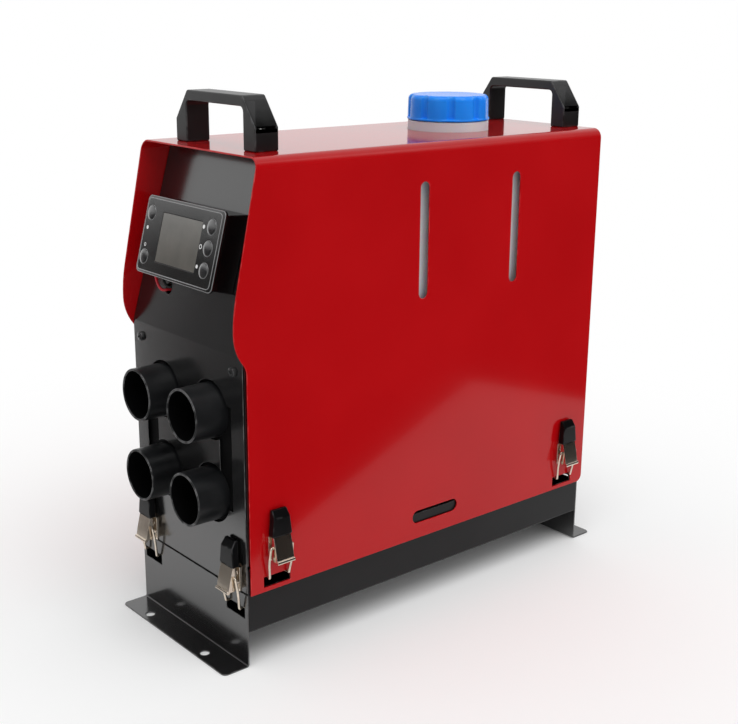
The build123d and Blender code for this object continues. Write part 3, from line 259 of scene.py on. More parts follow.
def flag(name, start, end, height, shades, soft_top):
    """A studio card on the floor from start to end that only reflections show, shaded from end to end.

    soft_top is the share of its height over which the card thins out upward.
    """
    made = bmesh.new()
    corners = ((*start, 0), (*end, 0), (*end, height), (*start, height))
    face = made.faces.new([made.verts.new(corner) for corner in corners])
    spread = made.loops.layers.uv.new("spread")
    for loop, place in zip(face.loops, ((0, 0), (1, 0), (1, 1), (0, 1))):
        loop[spread].uv = place
    card = mesh_object(name, made)
    board, tree, shader = new_material(name)
    set_inputs(shader, Roughness=1.0, Specular_IOR_Level=0.0)
    apart = tree.nodes.new("ShaderNodeSeparateXYZ")
    feed(tree, apart, 0, tree.nodes.new("ShaderNodeTexCoord").outputs["UV"])
    feed(tree, shader, "Base Color", blended(tree, apart.outputs["X"], grey(shades[0]), grey(shades[1])))
    thinned = remap(tree, apart.outputs["Y"], (1.0, solid_share - soft_top), smooth=True)
    feed(tree, shader, "Alpha", thinned)
    card.data.materials.append(board)
    card.visible_camera = card.visible_diffuse = card.visible_shadow = False


dark, dim, pale = 0.02, 0.22, 0.52
side_start, side_corner, rear_end = (0.17, -0.18), (0.49, 0.46), (0.1, 0.6)
flag("side_flag", side_start, side_corner, height=0.95, shades=(dark, dark), soft_top=0.55)
flag("rear_flag", side_corner, rear_end, height=0.9, shades=(dark, dark), soft_top=0.55)
front_y = -0.335
front_start, front_corner, front_end = (-0.36, front_y), (-0.225, front_y), (0.2, front_y)
flag("front_left_flag", front_start, front_corner, height=0.39, shades=(pale, dim), soft_top=0.2)
flag("front_flag", front_corner, front_end, height=0.39, shades=(dim, dim), soft_top=0.2)


# ---------------------------------------------------------------------------------------------------
# Finishes
# ---------------------------------------------------------------------------------------------------

patch_detail, grain_detail, wear_and_highlight_detail = 5, 4, 6
patch_range = (0.35, 0.7)  # the part of the noise over which the two colours blend
wear_and_highlight_range = (0.45, 0.62)  # the part of the noise over which edges turn lighter, as wear and as painted highlight
wear_and_highlight_scale = 160
wear_and_highlight_strength = 0.7
lowest_roughness, highest_roughness = 0.02, 1.0
patch_height = 2  # the height of the patches in the bump, as a multiple of the grain's
finishes = {}


def finish(name, color, second, roughness, grain, depth, patch, spread=0.1, stretch=(1, 1, 1), wear_and_highlight=None,
           **sockets):
    """Add a finish: colour patches, uneven gloss, fine grain in the bump, and lighter edges, partly wear and
    partly painted highlight.

    grain and patch are sizes in mm, depth is the grain's height in mm, and spread is how far the roughness
    strays to either side.
    """
    made, tree, shader = new_material(name)
    set_inputs(shader, **sockets)
    coords = tree.nodes.new("ShaderNodeTexCoord").outputs["Object"]
    stretched = tree.nodes.new("ShaderNodeMapping")
    set_inputs(stretched, Scale=stretch)
    feed(tree, stretched, "Vector", coords)
    patches = noise(tree, coords, 1000 / patch, patch_detail)
    grains = noise(tree, stretched.outputs["Vector"], 1000 / grain, grain_detail)

    colour = blended(tree, remap(tree, patches, patch_range), (*color, 1), (*second, 1))
    # Marked edges take the lighter edge colour, broken up by noise: partly wear, partly painted highlight.
    if wear_and_highlight:
        edges = tree.nodes.new("ShaderNodeAttribute")
        edges.attribute_name = "edge_wear_and_highlight"
        wear_and_highlight_noise = remap(tree, noise(tree, coords, wear_and_highlight_scale, wear_and_highlight_detail), wear_and_highlight_range, (0, wear_and_highlight_strength))
        worn_and_lit = maths(tree, "MULTIPLY", edges.outputs["Fac"], wear_and_highlight_noise)
        colour = blended(tree, worn_and_lit, colour, (*wear_and_highlight, 1))

    level = maths(tree, "MULTIPLY", maths(tree, "ADD", patches, grains), 0.5)
    gloss = (max(lowest_roughness, roughness - spread), min(highest_roughness, roughness + spread))
    fine = bumped(tree, grains, depth * mm)
    feed(tree, shader, "Base Color", colour)
    feed(tree, shader, "Roughness", remap(tree, level, target=gloss))
    feed(tree, shader, "Normal", bumped(tree, patches, patch_height * depth * mm, fine))
    finishes[name] = made


# Finishes with the names of the record's material slots.
# Each finish's edge colour lightens marked edges: partly real wear, partly painted highlight.
finish("red_paint", (0.38, 0.0022, 0.004), (0.415, 0.0030, 0.005), 0.12, grain=1.6, depth=0.003, patch=90,
       spread=0.03, wear_and_highlight=(0.6, 0.06, 0.06), Specular_IOR_Level=0.24, Coat_Weight=0.1, Coat_Roughness=0.04)
finish("black_paint", (0.004, 0.004, 0.0042), (0.007, 0.007, 0.0073), 0.17, grain=1.4, depth=0.004,
       patch=70, spread=0.05, wear_and_highlight=(0.12, 0.12, 0.12), Specular_IOR_Level=1.0, IOR=1.6)
finish("black_plastic", (0.009, 0.009, 0.0095), (0.014, 0.014, 0.0145), 0.34, grain=0.7, depth=0.02,
       patch=25, spread=0.08, wear_and_highlight=(0.06, 0.06, 0.062), Specular_IOR_Level=0.4)
finish("duct_plastic", (0.006, 0.0063, 0.007), (0.010, 0.0105, 0.0115), 0.34, grain=0.9, depth=0.015,
       patch=18, spread=0.08, wear_and_highlight=(0.13, 0.13, 0.132), Specular_IOR_Level=0.36)
finish("display_plastic", (0.085, 0.08, 0.07), (0.12, 0.112, 0.098), 0.14, grain=2.0, depth=0.001, patch=26,
       spread=0.03, Coat_Weight=1.0)
finish("button_plastic", (0.006, 0.006, 0.007), (0.011, 0.011, 0.012), 0.08, grain=0.8, depth=0.001,
       patch=6, spread=0.03, Coat_Weight=1.0, Coat_IOR=1.7)
finish("nickel", (0.78, 0.69, 0.58), (0.62, 0.54, 0.45), 0.2, grain=0.5, depth=0.008, patch=8, spread=0.1,
       stretch=(1, 1, 0.12), wear_and_highlight=(0.9, 0.84, 0.76), Metallic=1.0)
finish("screw_steel", (0.42, 0.42, 0.40), (0.3, 0.3, 0.29), 0.3, grain=0.4, depth=0.01, patch=4,
       Metallic=1.0)
finish("tank_plastic", (0.62, 0.65, 0.69), (0.72, 0.74, 0.77), 0.42, grain=1.2, depth=0.02, patch=45,
       spread=0.08, Subsurface_Weight=0.25, Subsurface_Scale=0.004)
# Its lighter edge colour is painted highlight on the cap's top edge and foot.
finish("cap_plastic", (0.010, 0.225, 0.9), (0.013, 0.265, 0.95), 0.22, grain=0.8, depth=0.004, patch=20,
       spread=0.06, wear_and_highlight=(0.08, 0.36, 0.88), Specular_IOR_Level=0.2, Subsurface_Weight=0.05,
       Subsurface_Scale=0.002)
finish("seal_rubber", (0.02, 0.02, 0.02), (0.035, 0.035, 0.035), 0.75, grain=0.5, depth=0.03, patch=8)
finish("zinc_steel", (0.58, 0.59, 0.58), (0.44, 0.45, 0.45), 0.34, grain=2.0, depth=0.01, patch=9,
       spread=0.12, wear_and_highlight=(0.7, 0.7, 0.68), Metallic=1.0)
finish("cast_aluminium", (0.52, 0.52, 0.51), (0.4, 0.4, 0.39), 0.5, grain=0.9, depth=0.1, patch=14,
       spread=0.12, Metallic=1.0)
finish("motor_steel", (0.4, 0.4, 0.41), (0.3, 0.3, 0.31), 0.36, grain=1.0, depth=0.01, patch=12,
       stretch=(1, 0.1, 1), Metallic=1.0)
finish("circuit_board", (0.01, 0.11, 0.04), (0.015, 0.15, 0.06), 0.3, grain=1.2, depth=0.02, patch=5,
       Coat_Weight=0.5)
finish("hose_rubber", (0.018, 0.018, 0.018), (0.03, 0.03, 0.03), 0.6, grain=0.6, depth=0.03, patch=10)
finish("wire_plastic", (0.5, 0.012, 0.025), (0.6, 0.02, 0.035), 0.3, grain=0.6, depth=0.006, patch=5,
       Coat_Weight=0.4)
finish("fan_plastic", (0.03, 0.03, 0.032), (0.045, 0.045, 0.047), 0.5, grain=0.8, depth=0.03, patch=14)

# Variants of these for single pieces.
finish("black_wire", (0.012, 0.012, 0.012), (0.02, 0.02, 0.02), 0.35, grain=0.6, depth=0.006, patch=5)
finish("black_screw", (0.015, 0.015, 0.016), (0.03, 0.03, 0.03), 0.25, grain=0.4, depth=0.01, patch=4,
       Specular_IOR_Level=0.8)
finish("base_paint", (0.005, 0.005, 0.0053), (0.008, 0.008, 0.0084), 0.3, grain=1.4, depth=0.006, patch=70,
       spread=0.06, wear_and_highlight=(0.1, 0.1, 0.1), Specular_IOR_Level=0.22)
finish("housing_plastic", (0.0015, 0.0015, 0.0017), (0.0025, 0.0025, 0.0028), 0.22, grain=0.7, depth=0.004,
       patch=25, spread=0.05, wear_and_highlight=(0.02, 0.02, 0.021), Specular_IOR_Level=0.6)
finish("grip_plastic", (0.002, 0.002, 0.0023), (0.0035, 0.0035, 0.004), 0.3, grain=0.7, depth=0.008,
       patch=12, spread=0.08, wear_and_highlight=(0.05, 0.05, 0.052), Specular_IOR_Level=0.2)
finish("bezel_plastic", (0.003, 0.003, 0.003), (0.005, 0.0048, 0.0045), 0.1, grain=0.8, depth=0.002,
       patch=25, spread=0.03, Specular_IOR_Level=0.9)
finish("clear_rim", (0.16, 0.16, 0.165), (0.22, 0.22, 0.225), 0.12, grain=0.8, depth=0.002, patch=12,
       spread=0.03, Coat_Weight=1.0)
finish("mark_ink", (0.8, 0.8, 0.8), (0.7, 0.7, 0.7), 0.5, grain=0.5, depth=0.003, patch=3)
finish("manifold_plastic", (0.004, 0.004, 0.0042), (0.006, 0.006, 0.0063), 0.7, grain=0.9, depth=0.02,
       patch=25, Specular_IOR_Level=0.05)
# The tubes' bores: a darker copy of their plastic, as painted shade.
finish("duct_bore_painted_shade", (0.001, 0.001, 0.0012), (0.002, 0.002, 0.0022), 0.7, grain=0.9, depth=0.015, patch=18,
       Specular_IOR_Level=0.05)


# ---------------------------------------------------------------------------------------------------
# Making pieces
# ---------------------------------------------------------------------------------------------------

smooth_angle = math.radians(40)
weld_distance = 1e-6
flat_angle = math.radians(0.5)
bevel_angle = math.radians(28)


def add_piece(name, made, node, look=None, replaces=True):
    """Link a bmesh or a curve as a piece that rides with a node's body and has its slot.

    look names a finish other than the slot's own; a piece that doesn't replace its node adds to it.
    """
    if isinstance(made, bmesh.types.BMesh):
        piece = mesh_object(name, made)
        piece.data.shade_smooth()
        piece.data.set_sharp_from_angle(angle=smooth_angle)
        piece.modifiers.new("weighted_normals", "WEIGHTED_NORMAL").keep_sharp = True
    else:
        piece = bpy.data.objects.new(name, made)
        scene.collection.objects.link(piece)
    piece.data.materials.append(finishes[look or slot_of[node]])
    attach(piece, body_of[node])
    if replaces:
        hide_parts(node)
    return piece


def node_mesh(node):
    """A bmesh of a node's mesh with its doubled points joined."""
    made = bmesh.new()
    made.from_mesh(frame["nodes"][node].data)
    bmesh.ops.remove_doubles(made, verts=made.verts, dist=weld_distance)
    return made


def softened(node, width, segments=2):
    """A copy of a node's mesh with its flat faces joined and its sharp edges rounded by width mm."""
    made = node_mesh(node)
    bmesh.ops.dissolve_limit(made, angle_limit=flat_angle, verts=made.verts, edges=made.edges)
    # The rounded faces are marked for the lighter edge colour: partly wear, partly painted highlight.
    worn_and_lit = made.faces.layers.float.new("edge_wear_and_highlight")
    sharp = [
        edge for edge in made.edges
        if len(edge.link_faces) == 2 and edge.calc_face_angle() > bevel_angle
    ]
    rounded = bmesh.ops.bevel(made, geom=sharp, offset=width * mm, offset_type="OFFSET", segments=segments,
                              profile=0.5, affect="EDGES", clamp_overlap=False)
    for face in rounded["faces"]:
        face[worn_and_lit] = 1.0
    return made


def circle(radius, steps, first=0.0):
    """Points of a circle; first is the angle of its first point, in steps."""
    turns = [2 * math.pi * (step + first) / steps for step in range(steps)]
    return [(radius * math.cos(turned), radius * math.sin(turned)) for turned in turns]


def level_ring(made, place, points, height):
    """Vertices at some (x, y) points and a height in the local frame of place."""
    return [made.verts.new(place @ Vector((x, y, height))) for x, y in points]


def skin(made, rings, closed=False):
    """Join rings of vertices by faces; a ring may be one vertex, and closed joins the last to the first."""
    pairs = list(zip(rings, rings[1:]))
    if closed:
        pairs.append((rings[-1], rings[0]))
    for first, second in pairs:
        steps = max(len(first), len(second))
        if steps == 1:
            continue
        for step in range(steps):
            after = (step + 1) % steps
            if len(first) == 1:
                corners = (first[0], second[after], second[step])
            elif len(second) == 1:
                corners = (first[step], first[after], second[0])
            else:
                corners = (first[step], first[after], second[after], second[step])
            made.faces.new(corners)


def lathe(profile, place, segments, closed=True):
    """Turn (radius, height) points about the local Z of place; a closed profile joins its ends."""
    made = bmesh.new()
    rings = []
    for radius, height in profile:
        points = circle(radius, segments) if radius else [(0, 0)]
        rings.append(level_ring(made, place, points, height))
    skin(made, rings, closed)
    bmesh.ops.recalc_face_normals(made, faces=made.faces)
    return made


def arc(middle, radius, start, end, steps=6):
    """Points of a round corner, angles in degrees."""
    across, upward = middle
    turns = [math.radians(start + (end - start) * step / steps) for step in range(steps + 1)]
    return [(across + radius * math.cos(turned), upward + radius * math.sin(turned)) for turned in turns]


def corners_of(points):
    """Lowest and highest corner of some points."""
    low = Vector([min(point[axis] for point in points) for axis in range(3)])
    high = Vector([max(point[axis] for point in points) for axis in range(3)])
    return low, high


def local_points(node, place):
    """A node's points in the local frame of place."""
    inside = place.inverted()
    return [inside @ vertex.co for vertex in frame["nodes"][node].data.vertices]


def extents(node, place):
    """Lowest and highest corner of a node in the local frame of place."""
    return corners_of(local_points(node, place))


def islands(node):
    """Lowest and highest corner of each separate solid of a node."""
    made = node_mesh(node)
    left, found = set(made.verts), []
    while left:
        queue, group = [left.pop()], []
        while queue:
            vertex = queue.pop()
            group.append(vertex.co.copy())
            for edge in vertex.link_edges:
                other = edge.other_vert(vertex)
                if other in left:
                    left.remove(other)
                    queue.append(other)
        found.append(corners_of(group))
    made.free()
    return sorted(found, key=lambda pair: tuple(round(value, 5) for value in pair[0]))


def local_frame(origin, x_axis, y_axis, z_axis):
    """A 4x4 matrix from an origin and three unit axes."""
    made = Matrix((x_axis, y_axis, z_axis)).transposed().to_4x4()
    made.translation = origin
    return made


def curve(name, points, radius, kind, resolution):
    """A round curve's data and its spline."""
    data = bpy.data.curves.new(name, "CURVE")
    data.dimensions = "3D"
    data.bevel_depth = radius
    data.bevel_resolution = resolution
    spline = data.splines.new(kind)
    spline.points.add(len(points) - 1)
    for point, place in zip(spline.points, points):
        point.co = (*place, 1)
    return data, spline


def wire(name, points, radius, node, look=None):
    """A round smooth wire near its points, in the place of a node."""
    data, spline = curve(name, points, radius, "NURBS", resolution=6)
    data.resolution_u = 12
    data.use_fill_caps = True
    spline.order_u = 3
    spline.use_endpoint_u = True
    add_piece(name, data, node, look)


# ---------------------------------------------------------------------------------------------------
# Sheet metal, casings and what is inside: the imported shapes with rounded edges
# ---------------------------------------------------------------------------------------------------

edge_rounding = {
    "base_tray": 0.3, "front_foot": 0.35, "rear_foot": 0.35, "shell_cover": 0.35, "front_panel": 0.35,
    "rear_panel": 0.3, "front_handle": 1.1, "rear_handle": 1.1, "duct_manifold": 0.5,
    "controller_housing": 0.8, "display_window": 0.3, "controller_board": 0.2,
    "latch_bases": 0.25, "fuel_tank": 0.6, "cap_seal": 0.3, "tank_shelf": 0.3, "heater_casing": 0.6,
    "heat_exchanger": 0.5, "blower_motor": 0.6, "fan_wheel": 0.4, "combustion_wheel": 0.3, "glow_plug": 0.4,
    "fuel_pump": 0.5, "heater_bracket": 0.3, "control_board": 0.2, "power_gland": 0.5,
}
wide_rounding = 0.7
own_look = {
    "base_tray": "base_paint", "controller_housing": "housing_plastic", "duct_manifold": "manifold_plastic",
}
for node, width in edge_rounding.items():
    made = softened(node, width, 3 if width > wide_rounding else 2)
    add_piece(f"{node}_look", made, node, own_look.get(node))


# ---------------------------------------------------------------------------------------------------
# Duct outlets: turned tubes with a rounded mouth, a lip lightened as painted highlight, and a bore darkened as
# painted shade
# ---------------------------------------------------------------------------------------------------

outlet_bore = mount_of["outlet_upper_left"]["dims"]["r_mm"] * mm
collar_share, step_share = 0.4, 0.42  # the tube is a little narrower beyond its collar
step_inset, mouth_inset = 0.15 * mm, 0.2 * mm
outer_round, inner_round = 0.7 * mm, 0.6 * mm
mouth_depth = 2 * mm
lip_depth = 0.75 * mm
bore_margin = 0.3 * mm
for node in sorted(name for name in slot_of if name.startswith("outlet_")):
    low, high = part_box(node)
    middle = (low + high) / 2
    outer = (high.x - low.x) / 2
    length = high.y - low.y
    mouth = outer - mouth_inset
    place = local_frame(Vector((middle.x, high.y, middle.z)), right, up, forward)
    profile = [(outlet_bore, 0), (outer, 0), (outer, collar_share * length)]
    profile += [(outer - step_inset, step_share * length), (mouth, length - mouth_depth)]
    profile += arc((mouth - outer_round, length - outer_round), outer_round, 0, 90)
    profile += arc((outlet_bore + inner_round, length - inner_round), inner_round, 90, 180)
    profile += [(outlet_bore, length / 2)]
    tube = lathe(profile, place, segments=96)
    # The lip's faces get the finish's lighter edge colour as painted highlight; the bore's faces get the darker
    # bore finish as painted shade.
    worn_and_lit = tube.faces.layers.float.new("edge_wear_and_highlight")
    for face in tube.faces:
        spot = place.inverted() @ face.calc_center_median()
        if spot.z > length - lip_depth:
            face[worn_and_lit] = 1.0
        elif spot.xy.length < outlet_bore + bore_margin:
            face.material_index = 1
    piece = add_piece(f"{node}_look", tube, node)
    piece.data.materials.append(finishes["duct_bore_painted_shade"])


# ---------------------------------------------------------------------------------------------------
# Tank cap: broad lobes between narrow grooves
# ---------------------------------------------------------------------------------------------------

facet_loss = 0.05 * mm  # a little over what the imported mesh's facets take off the cap's radius
groove_steps = 32  # points from one groove to the next


def fluted_cap(node, grooves, groove_depth, groove_turn, lobe_depth, rim):
    """A screw cap with upright grooves, a flared foot, a rounded top edge and a sunk top.

    groove_turn is half a groove's width in degrees, and rim is the radius of the top edge.
    """
    low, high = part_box(node)
    middle = (low + high) / 2
    height = high.z - low.z
    outer = (high.x - low.x) / 2 + facet_loss
    wall, roof, foot, flare = 3.8 * mm, 3 * mm, 1.6 * mm, 0.2 * mm
    foot_round, foot_step, foot_blend = 0.4 * mm, 0.3 * mm, 1 * mm
    draft, sunk, dish_start, dish_end = 0.4 * mm, 0.3 * mm, 8 * mm, 12 * mm
    foot_share, crown_fade, crown_steps = 0.3, 0.8, 12
    bore, body = outer - wall, outer - flare

    # Each row of the profile has its radius, its height, and its share of the depth of grooves and lobes.
    profile = [(bore, 0, 0), (outer - foot_round, 0, 0), (outer, foot_round, 0)]
    profile += [(outer, foot - foot_step, 0), (body, foot, foot_share)]
    profile += [(body - draft / 4, foot + foot_blend, 1), (body - draft / 2, height / 2, 1)]
    profile += [(body - draft, height - rim, 1)]
    crown = arc((body - draft - rim, height - rim), rim, 0, 90, crown_steps)
    profile += [(*point, 1 - crown_fade * (step / crown_steps) ** 2) for step, point in enumerate(crown)]
    profile += [(body - dish_start, height, 0), (body - dish_end, height - sunk, 0), (0, height - sunk, 0)]
    profile += [(0, height - roof, 0), (bore, height - roof, 0)]

    steps = grooves * groove_steps
    spacing = 360 / grooves
    cuts = []
    for step in range(steps):
        off = (360 * step / steps + spacing / 2) % spacing - spacing / 2
        near = abs(off) / groove_turn
        groove = groove_depth * math.sqrt(1 - near * near) if near < 1 else 0
        cuts.append(groove + lobe_depth * (0.5 + 0.5 * math.cos(math.radians(off * grooves))))
    made = bmesh.new()
    rings = []
    for radius, z, share in profile:
        points = [(middle.x, middle.y)]
        if radius:
            radii = [min(radius - share * cut, outer) for cut in cuts]
            points = [(middle.x + r * x, middle.y + r * y) for r, (x, y) in zip(radii, circle(1, steps))]
        rings.append([made.verts.new((x, y, low.z + z)) for x, y in points])
    skin(made, rings, closed=True)
    bmesh.ops.recalc_face_normals(made, faces=made.faces)

    # Faces of the rounded top edge that turn partly up, and the foot's upward faces, get the lighter edge colour:
    # painted highlight.
    worn_and_lit = made.faces.layers.float.new("edge_wear_and_highlight")
    crown_slopes = (0.25, 0.7)
    foot_slope = 0.2
    for face in made.faces:
        z = face.calc_center_median().z - low.z
        on_crown = z > height - rim and crown_slopes[0] < face.normal.z < crown_slopes[1]
        if on_crown or z < foot and face.normal.z > foot_slope:
            face[worn_and_lit] = 1.0
    return made


cap = fluted_cap("tank_cap", grooves=9, groove_depth=2.2 * mm, groove_turn=5.2, lobe_depth=0.9 * mm,
                 rim=4 * mm)
add_piece("tank_cap_look", cap, "tank_cap")


# ---------------------------------------------------------------------------------------------------
# Screws: domed heads with a cross recess, on their shanks
# ---------------------------------------------------------------------------------------------------

shank_radius = 2.0 * mm
head_height = 2.4 * mm
dome_share, edge_share = 0.28, 0.62  # of the head's height
cross_width, cross_reach, cross_fade = 0.16, 0.62, 0.75  # of the head's radius
cross_depth = 0.55  # of the head's height


def screw(name, node, place, head_radius, shank_length, look=None):
    """One pan-head screw; local Z of place points out of its head, whose underside is at 0."""
    rings, steps = 14, 64
    width, reach, fade = (share * head_radius for share in (cross_width, cross_reach, cross_fade))
    made = bmesh.new()
    levels = []
    for ring in range(rings + 1):
        radius = head_radius * ring / rings
        dome = head_height * (1 - dome_share + dome_share * math.sqrt(1 - (ring / rings) ** 2))
        if ring == rings:
            dome = head_height * edge_share
        row = []
        for x, y in circle(radius, steps, first=0.5):
            in_cross = min(abs(x), abs(y)) < width and radius < reach
            sunk = cross_depth * head_height * (1 - radius / fade) if in_cross else 0
            row.append(made.verts.new(place @ Vector((x, y, dome - sunk))))
        levels.append(row)
    for radius, height in ((head_radius, 0), (shank_radius, 0), (shank_radius, -shank_length)):
        levels.append(level_ring(made, place, circle(radius, steps, first=0.5), height))
    skin(made, levels)
    made.faces.new(levels[-1])
    bmesh.ops.remove_doubles(made, verts=made.verts, dist=weld_distance / 10)
    bmesh.ops.recalc_face_normals(made, faces=made.faces)
    add_piece(name, made, node, look)


handle_screw_turn = 0.4
for number, (low, high) in enumerate(islands("handle_screws")):
    middle = (low + high) / 2
    place = local_frame(Vector((middle.x, middle.y, high.z - head_height)), right, -forward, up)
    place = place @ Matrix.Rotation(handle_screw_turn + number, 4, "Z")
    screw(f"handle_screw_{number}", "handle_screws", place, head_radius=(high.x - low.x) / 2,
          shank_length=high.z - head_height - low.z)

panel_screw_turn, panel_screw_step = 0.3, 1.3
for number, (low, high) in enumerate(islands("panel_screws")):
    middle = (low + high) / 2
    on_front = middle.y < 0
    out = forward if on_front else -forward
    head_y = low.y + head_height if on_front else high.y - head_height
    place = local_frame(Vector((middle.x, head_y, middle.z)), up.cross(out), up, out)
    place = place @ Matrix.Rotation(panel_screw_turn + panel_screw_step * number, 4, "Z")
    screw(f"panel_screw_{number}", "panel_screws", place, head_radius=(high.x - low.x) / 2,
          shank_length=high.y - low.y - head_height, look="black_screw")


# ---------------------------------------------------------------------------------------------------
# Controller: bezel, rim beads, domed buttons, marks and wires
# ---------------------------------------------------------------------------------------------------

face_out = -Vector(joint_of["button_upper_left_press"]["axis"]).normalized()
face_at_origin = local_frame(Vector((0, 0, 0)), right, face_out.cross(right), face_out)
bezel_low, bezel_high = extents("controller_bezel", face_at_origin)
bezel_middle = (bezel_low + bezel_high) / 2
face_frame = face_at_origin @ Matrix.Translation((bezel_middle.x, bezel_middle.y, bezel_high.z))
half_across = (bezel_high.x - bezel_low.x) / 2
half_up = (bezel_high.y - bezel_low.y) / 2
bezel_back = bezel_low.z - bezel_high.z
face_corners = ((1, 1, 0), (-1, 1, 90), (-1, -1, 180), (1, -1, 270))  # two sides, and where the arc starts
bezel_corner = 4 * mm
catch_upper, catch_lower, catch_half = 20 * mm, 24 * mm, 6 * mm  # places across the face, and half a width


def on_face(points, height):
    """Points on the controller's face, lifted by height."""
    return [face_frame @ Vector((x, y, height)) for x, y in points]


def rounded_loop(half_x, half_y, radius, height):
    """Points of a rounded rectangle on the controller's face."""
    points = []
    for side_x, side_y, start in face_corners:
        middle = (side_x * (half_x - radius), side_y * (half_y - radius))
        points += arc(middle, radius, start, start + 90)
    return on_face(points, height)


def circle_loop(middle, radius, height, steps=40):
    """Points of a circle on the controller's face."""
    return on_face([(middle.x + x, middle.y + y) for x, y in circle(radius, steps)], height)


def edge_loop(inset_x, inset_y, height, notch):
    """The bezel's outline with a notch for the housing's catch in its upper and lower edge."""
    half_x, half_y = half_across - inset_x, half_up - inset_y
    points = []
    for side_x, side_y, start in face_corners:
        middle = (side_x * (half_x - bezel_corner), side_y * (half_y - bezel_corner))
        points += arc(middle, bezel_corner, start, start + 90)
        if side_x == side_y:
            catch = catch_upper if side_y > 0 else catch_lower
            first, last = catch + side_y * catch_half, catch - side_y * catch_half
            edge, inner = side_y * half_y, side_y * (half_y - notch)
            points += [(first, edge), (first, inner), (last, inner), (last, edge)]
    return on_face(points, height)


def holed_plate(stacks):
    """A plate from stacks of loops, the outline's first: each runs from the front face to the back face."""
    made = bmesh.new()
    ends = ([], [])
    for stack in stacks:
        rings = [[made.verts.new(point) for point in loop] for loop in stack]
        skin(made, rings)
        for edges, ring in zip(ends, (rings[0], rings[-1])):
            edges += [made.edges.get((ring[step - 1], ring[step])) for step in range(len(ring))]
    for edges in ends:
        bmesh.ops.triangle_fill(made, use_beauty=True, use_dissolve=False, edges=edges)
    bmesh.ops.recalc_face_normals(made, faces=made.faces)
    return made


def bead(name, loop, radius):
    """A thin closed bead on the bezel along a loop of points."""
    data, spline = curve(name, loop, radius, "POLY", resolution=4)
    spline.use_cyclic_u = True
    add_piece(name, data, "controller_bezel", "clear_rim", replaces=False)


# The outline: a flat face, a slope to the edge, the edge with its notches, and a chamfer at the back.
no_notch, catch_notch = 0.01 * mm, 0.7 * mm
face_inset_x, face_inset_y = 3 * mm, 2.25 * mm
slope_top_x, slope_top_y, slope_top = 2.7 * mm, 2 * mm, -0.05 * mm
slope_foot_x, slope_foot_y, slope_foot = 0.4 * mm, 0.35 * mm, -0.85 * mm
edge_inset, edge_top, notch_top = 0.1 * mm, -1 * mm, -1.25 * mm
back_inset, back_chamfer = 0.25 * mm, 0.3 * mm
stacks = [[
    edge_loop(face_inset_x, face_inset_y, 0, no_notch),
    edge_loop(slope_top_x, slope_top_y, slope_top, no_notch),
    edge_loop(slope_foot_x, slope_foot_y, slope_foot, no_notch),
    edge_loop(edge_inset, edge_inset, edge_top, no_notch),
    edge_loop(0, 0, notch_top, catch_notch),
    edge_loop(0, 0, bezel_back + back_chamfer, catch_notch),
    edge_loop(back_inset, back_inset, bezel_back, catch_notch),
]]

# The window: a rounded edge, the wall, and the ledge that the display rests on.
# Each loop has its width beyond the wall, the radius of its corners and its height.
window_low, window_high = extents("display_window", face_frame)
window_gap = 0.2 * mm
ledge_width, ledge_gap = 1.7 * mm, 0.02 * mm
ledge = window_low.z - ledge_gap
for_window = (
    (0.4 * mm, 1.2 * mm, 0), (0.12 * mm, 0.9 * mm, -0.1 * mm), (0, 0.8 * mm, -0.35 * mm),
    (0, 0.8 * mm, ledge), (-ledge_width, 0.5 * mm, ledge), (-ledge_width, 0.5 * mm, bezel_back),
)
stacks.append([
    rounded_loop(window_high.x + window_gap + wider, window_high.y + window_gap + wider, radius, height)
    for wider, radius, height in for_window
])

# The buttons' holes, with a rounded edge. Each loop has its width beyond the hole and its height.
button_gap = 0.3 * mm
buttons = sorted(name for name in slot_of if name.startswith("button_"))
for_holes = ((0.3 * mm, 0), (0.08 * mm, -0.1 * mm), (0, -0.3 * mm), (0, bezel_back))
for node in buttons:
    low, high = extents(node, face_frame)
    middle, radius = (low + high) / 2, (high.x - low.x) / 2 + button_gap
    stacks.append([circle_loop(middle, radius + wider, height) for wider, height in for_holes])
add_piece("controller_bezel_look", holed_plate(stacks), "controller_bezel", "bezel_plastic")

rim_inset_x, rim_inset_y, rim_corner, rim_height = 2.7 * mm, 2.2 * mm, 3.4 * mm, -0.15 * mm
outer_inset, outer_corner, outer_height = 0.5 * mm, 3.6 * mm, -1.1 * mm
rim_loop = rounded_loop(half_across - rim_inset_x, half_up - rim_inset_y, rim_corner, rim_height)
bead("bezel_rim", rim_loop, radius=0.35 * mm)
outer_loop = rounded_loop(half_across - outer_inset, half_up - outer_inset, outer_corner, outer_height)
bead("bezel_outer_rim", outer_loop, radius=0.4 * mm)

button_back = -1.8 * mm
dome_start = 0.2 * mm
dome_power = 0.9
dome_angles = range(12, 90, 11)  # degrees above the button's edge
ring_radius = 0.22 * mm
for node in buttons:
    low, high = extents(node, face_frame)
    middle = (low + high) / 2
    radius = (high.x - low.x) / 2
    stem = radius / 2
    dome = high.z - dome_start
    profile = [(0, low.z), (stem, low.z), (stem, button_back), (radius, button_back), (radius, dome_start)]
    for turned in dome_angles:
        slope = math.radians(turned)
        profile.append((radius * math.cos(slope), dome_start + dome * math.sin(slope) ** dome_power))
    profile.append((0, high.z))
    place = face_frame @ Matrix.Translation((middle.x, middle.y, 0))
    add_piece(f"{node}_look", lathe(profile, place, segments=48, closed=False), node)
    bead(f"{node}_ring", circle_loop(middle, radius + button_gap, 0, steps=48), ring_radius)

mark_lift, mark_thick, ring_share = 0.02 * mm, 0.05 * mm, 0.62


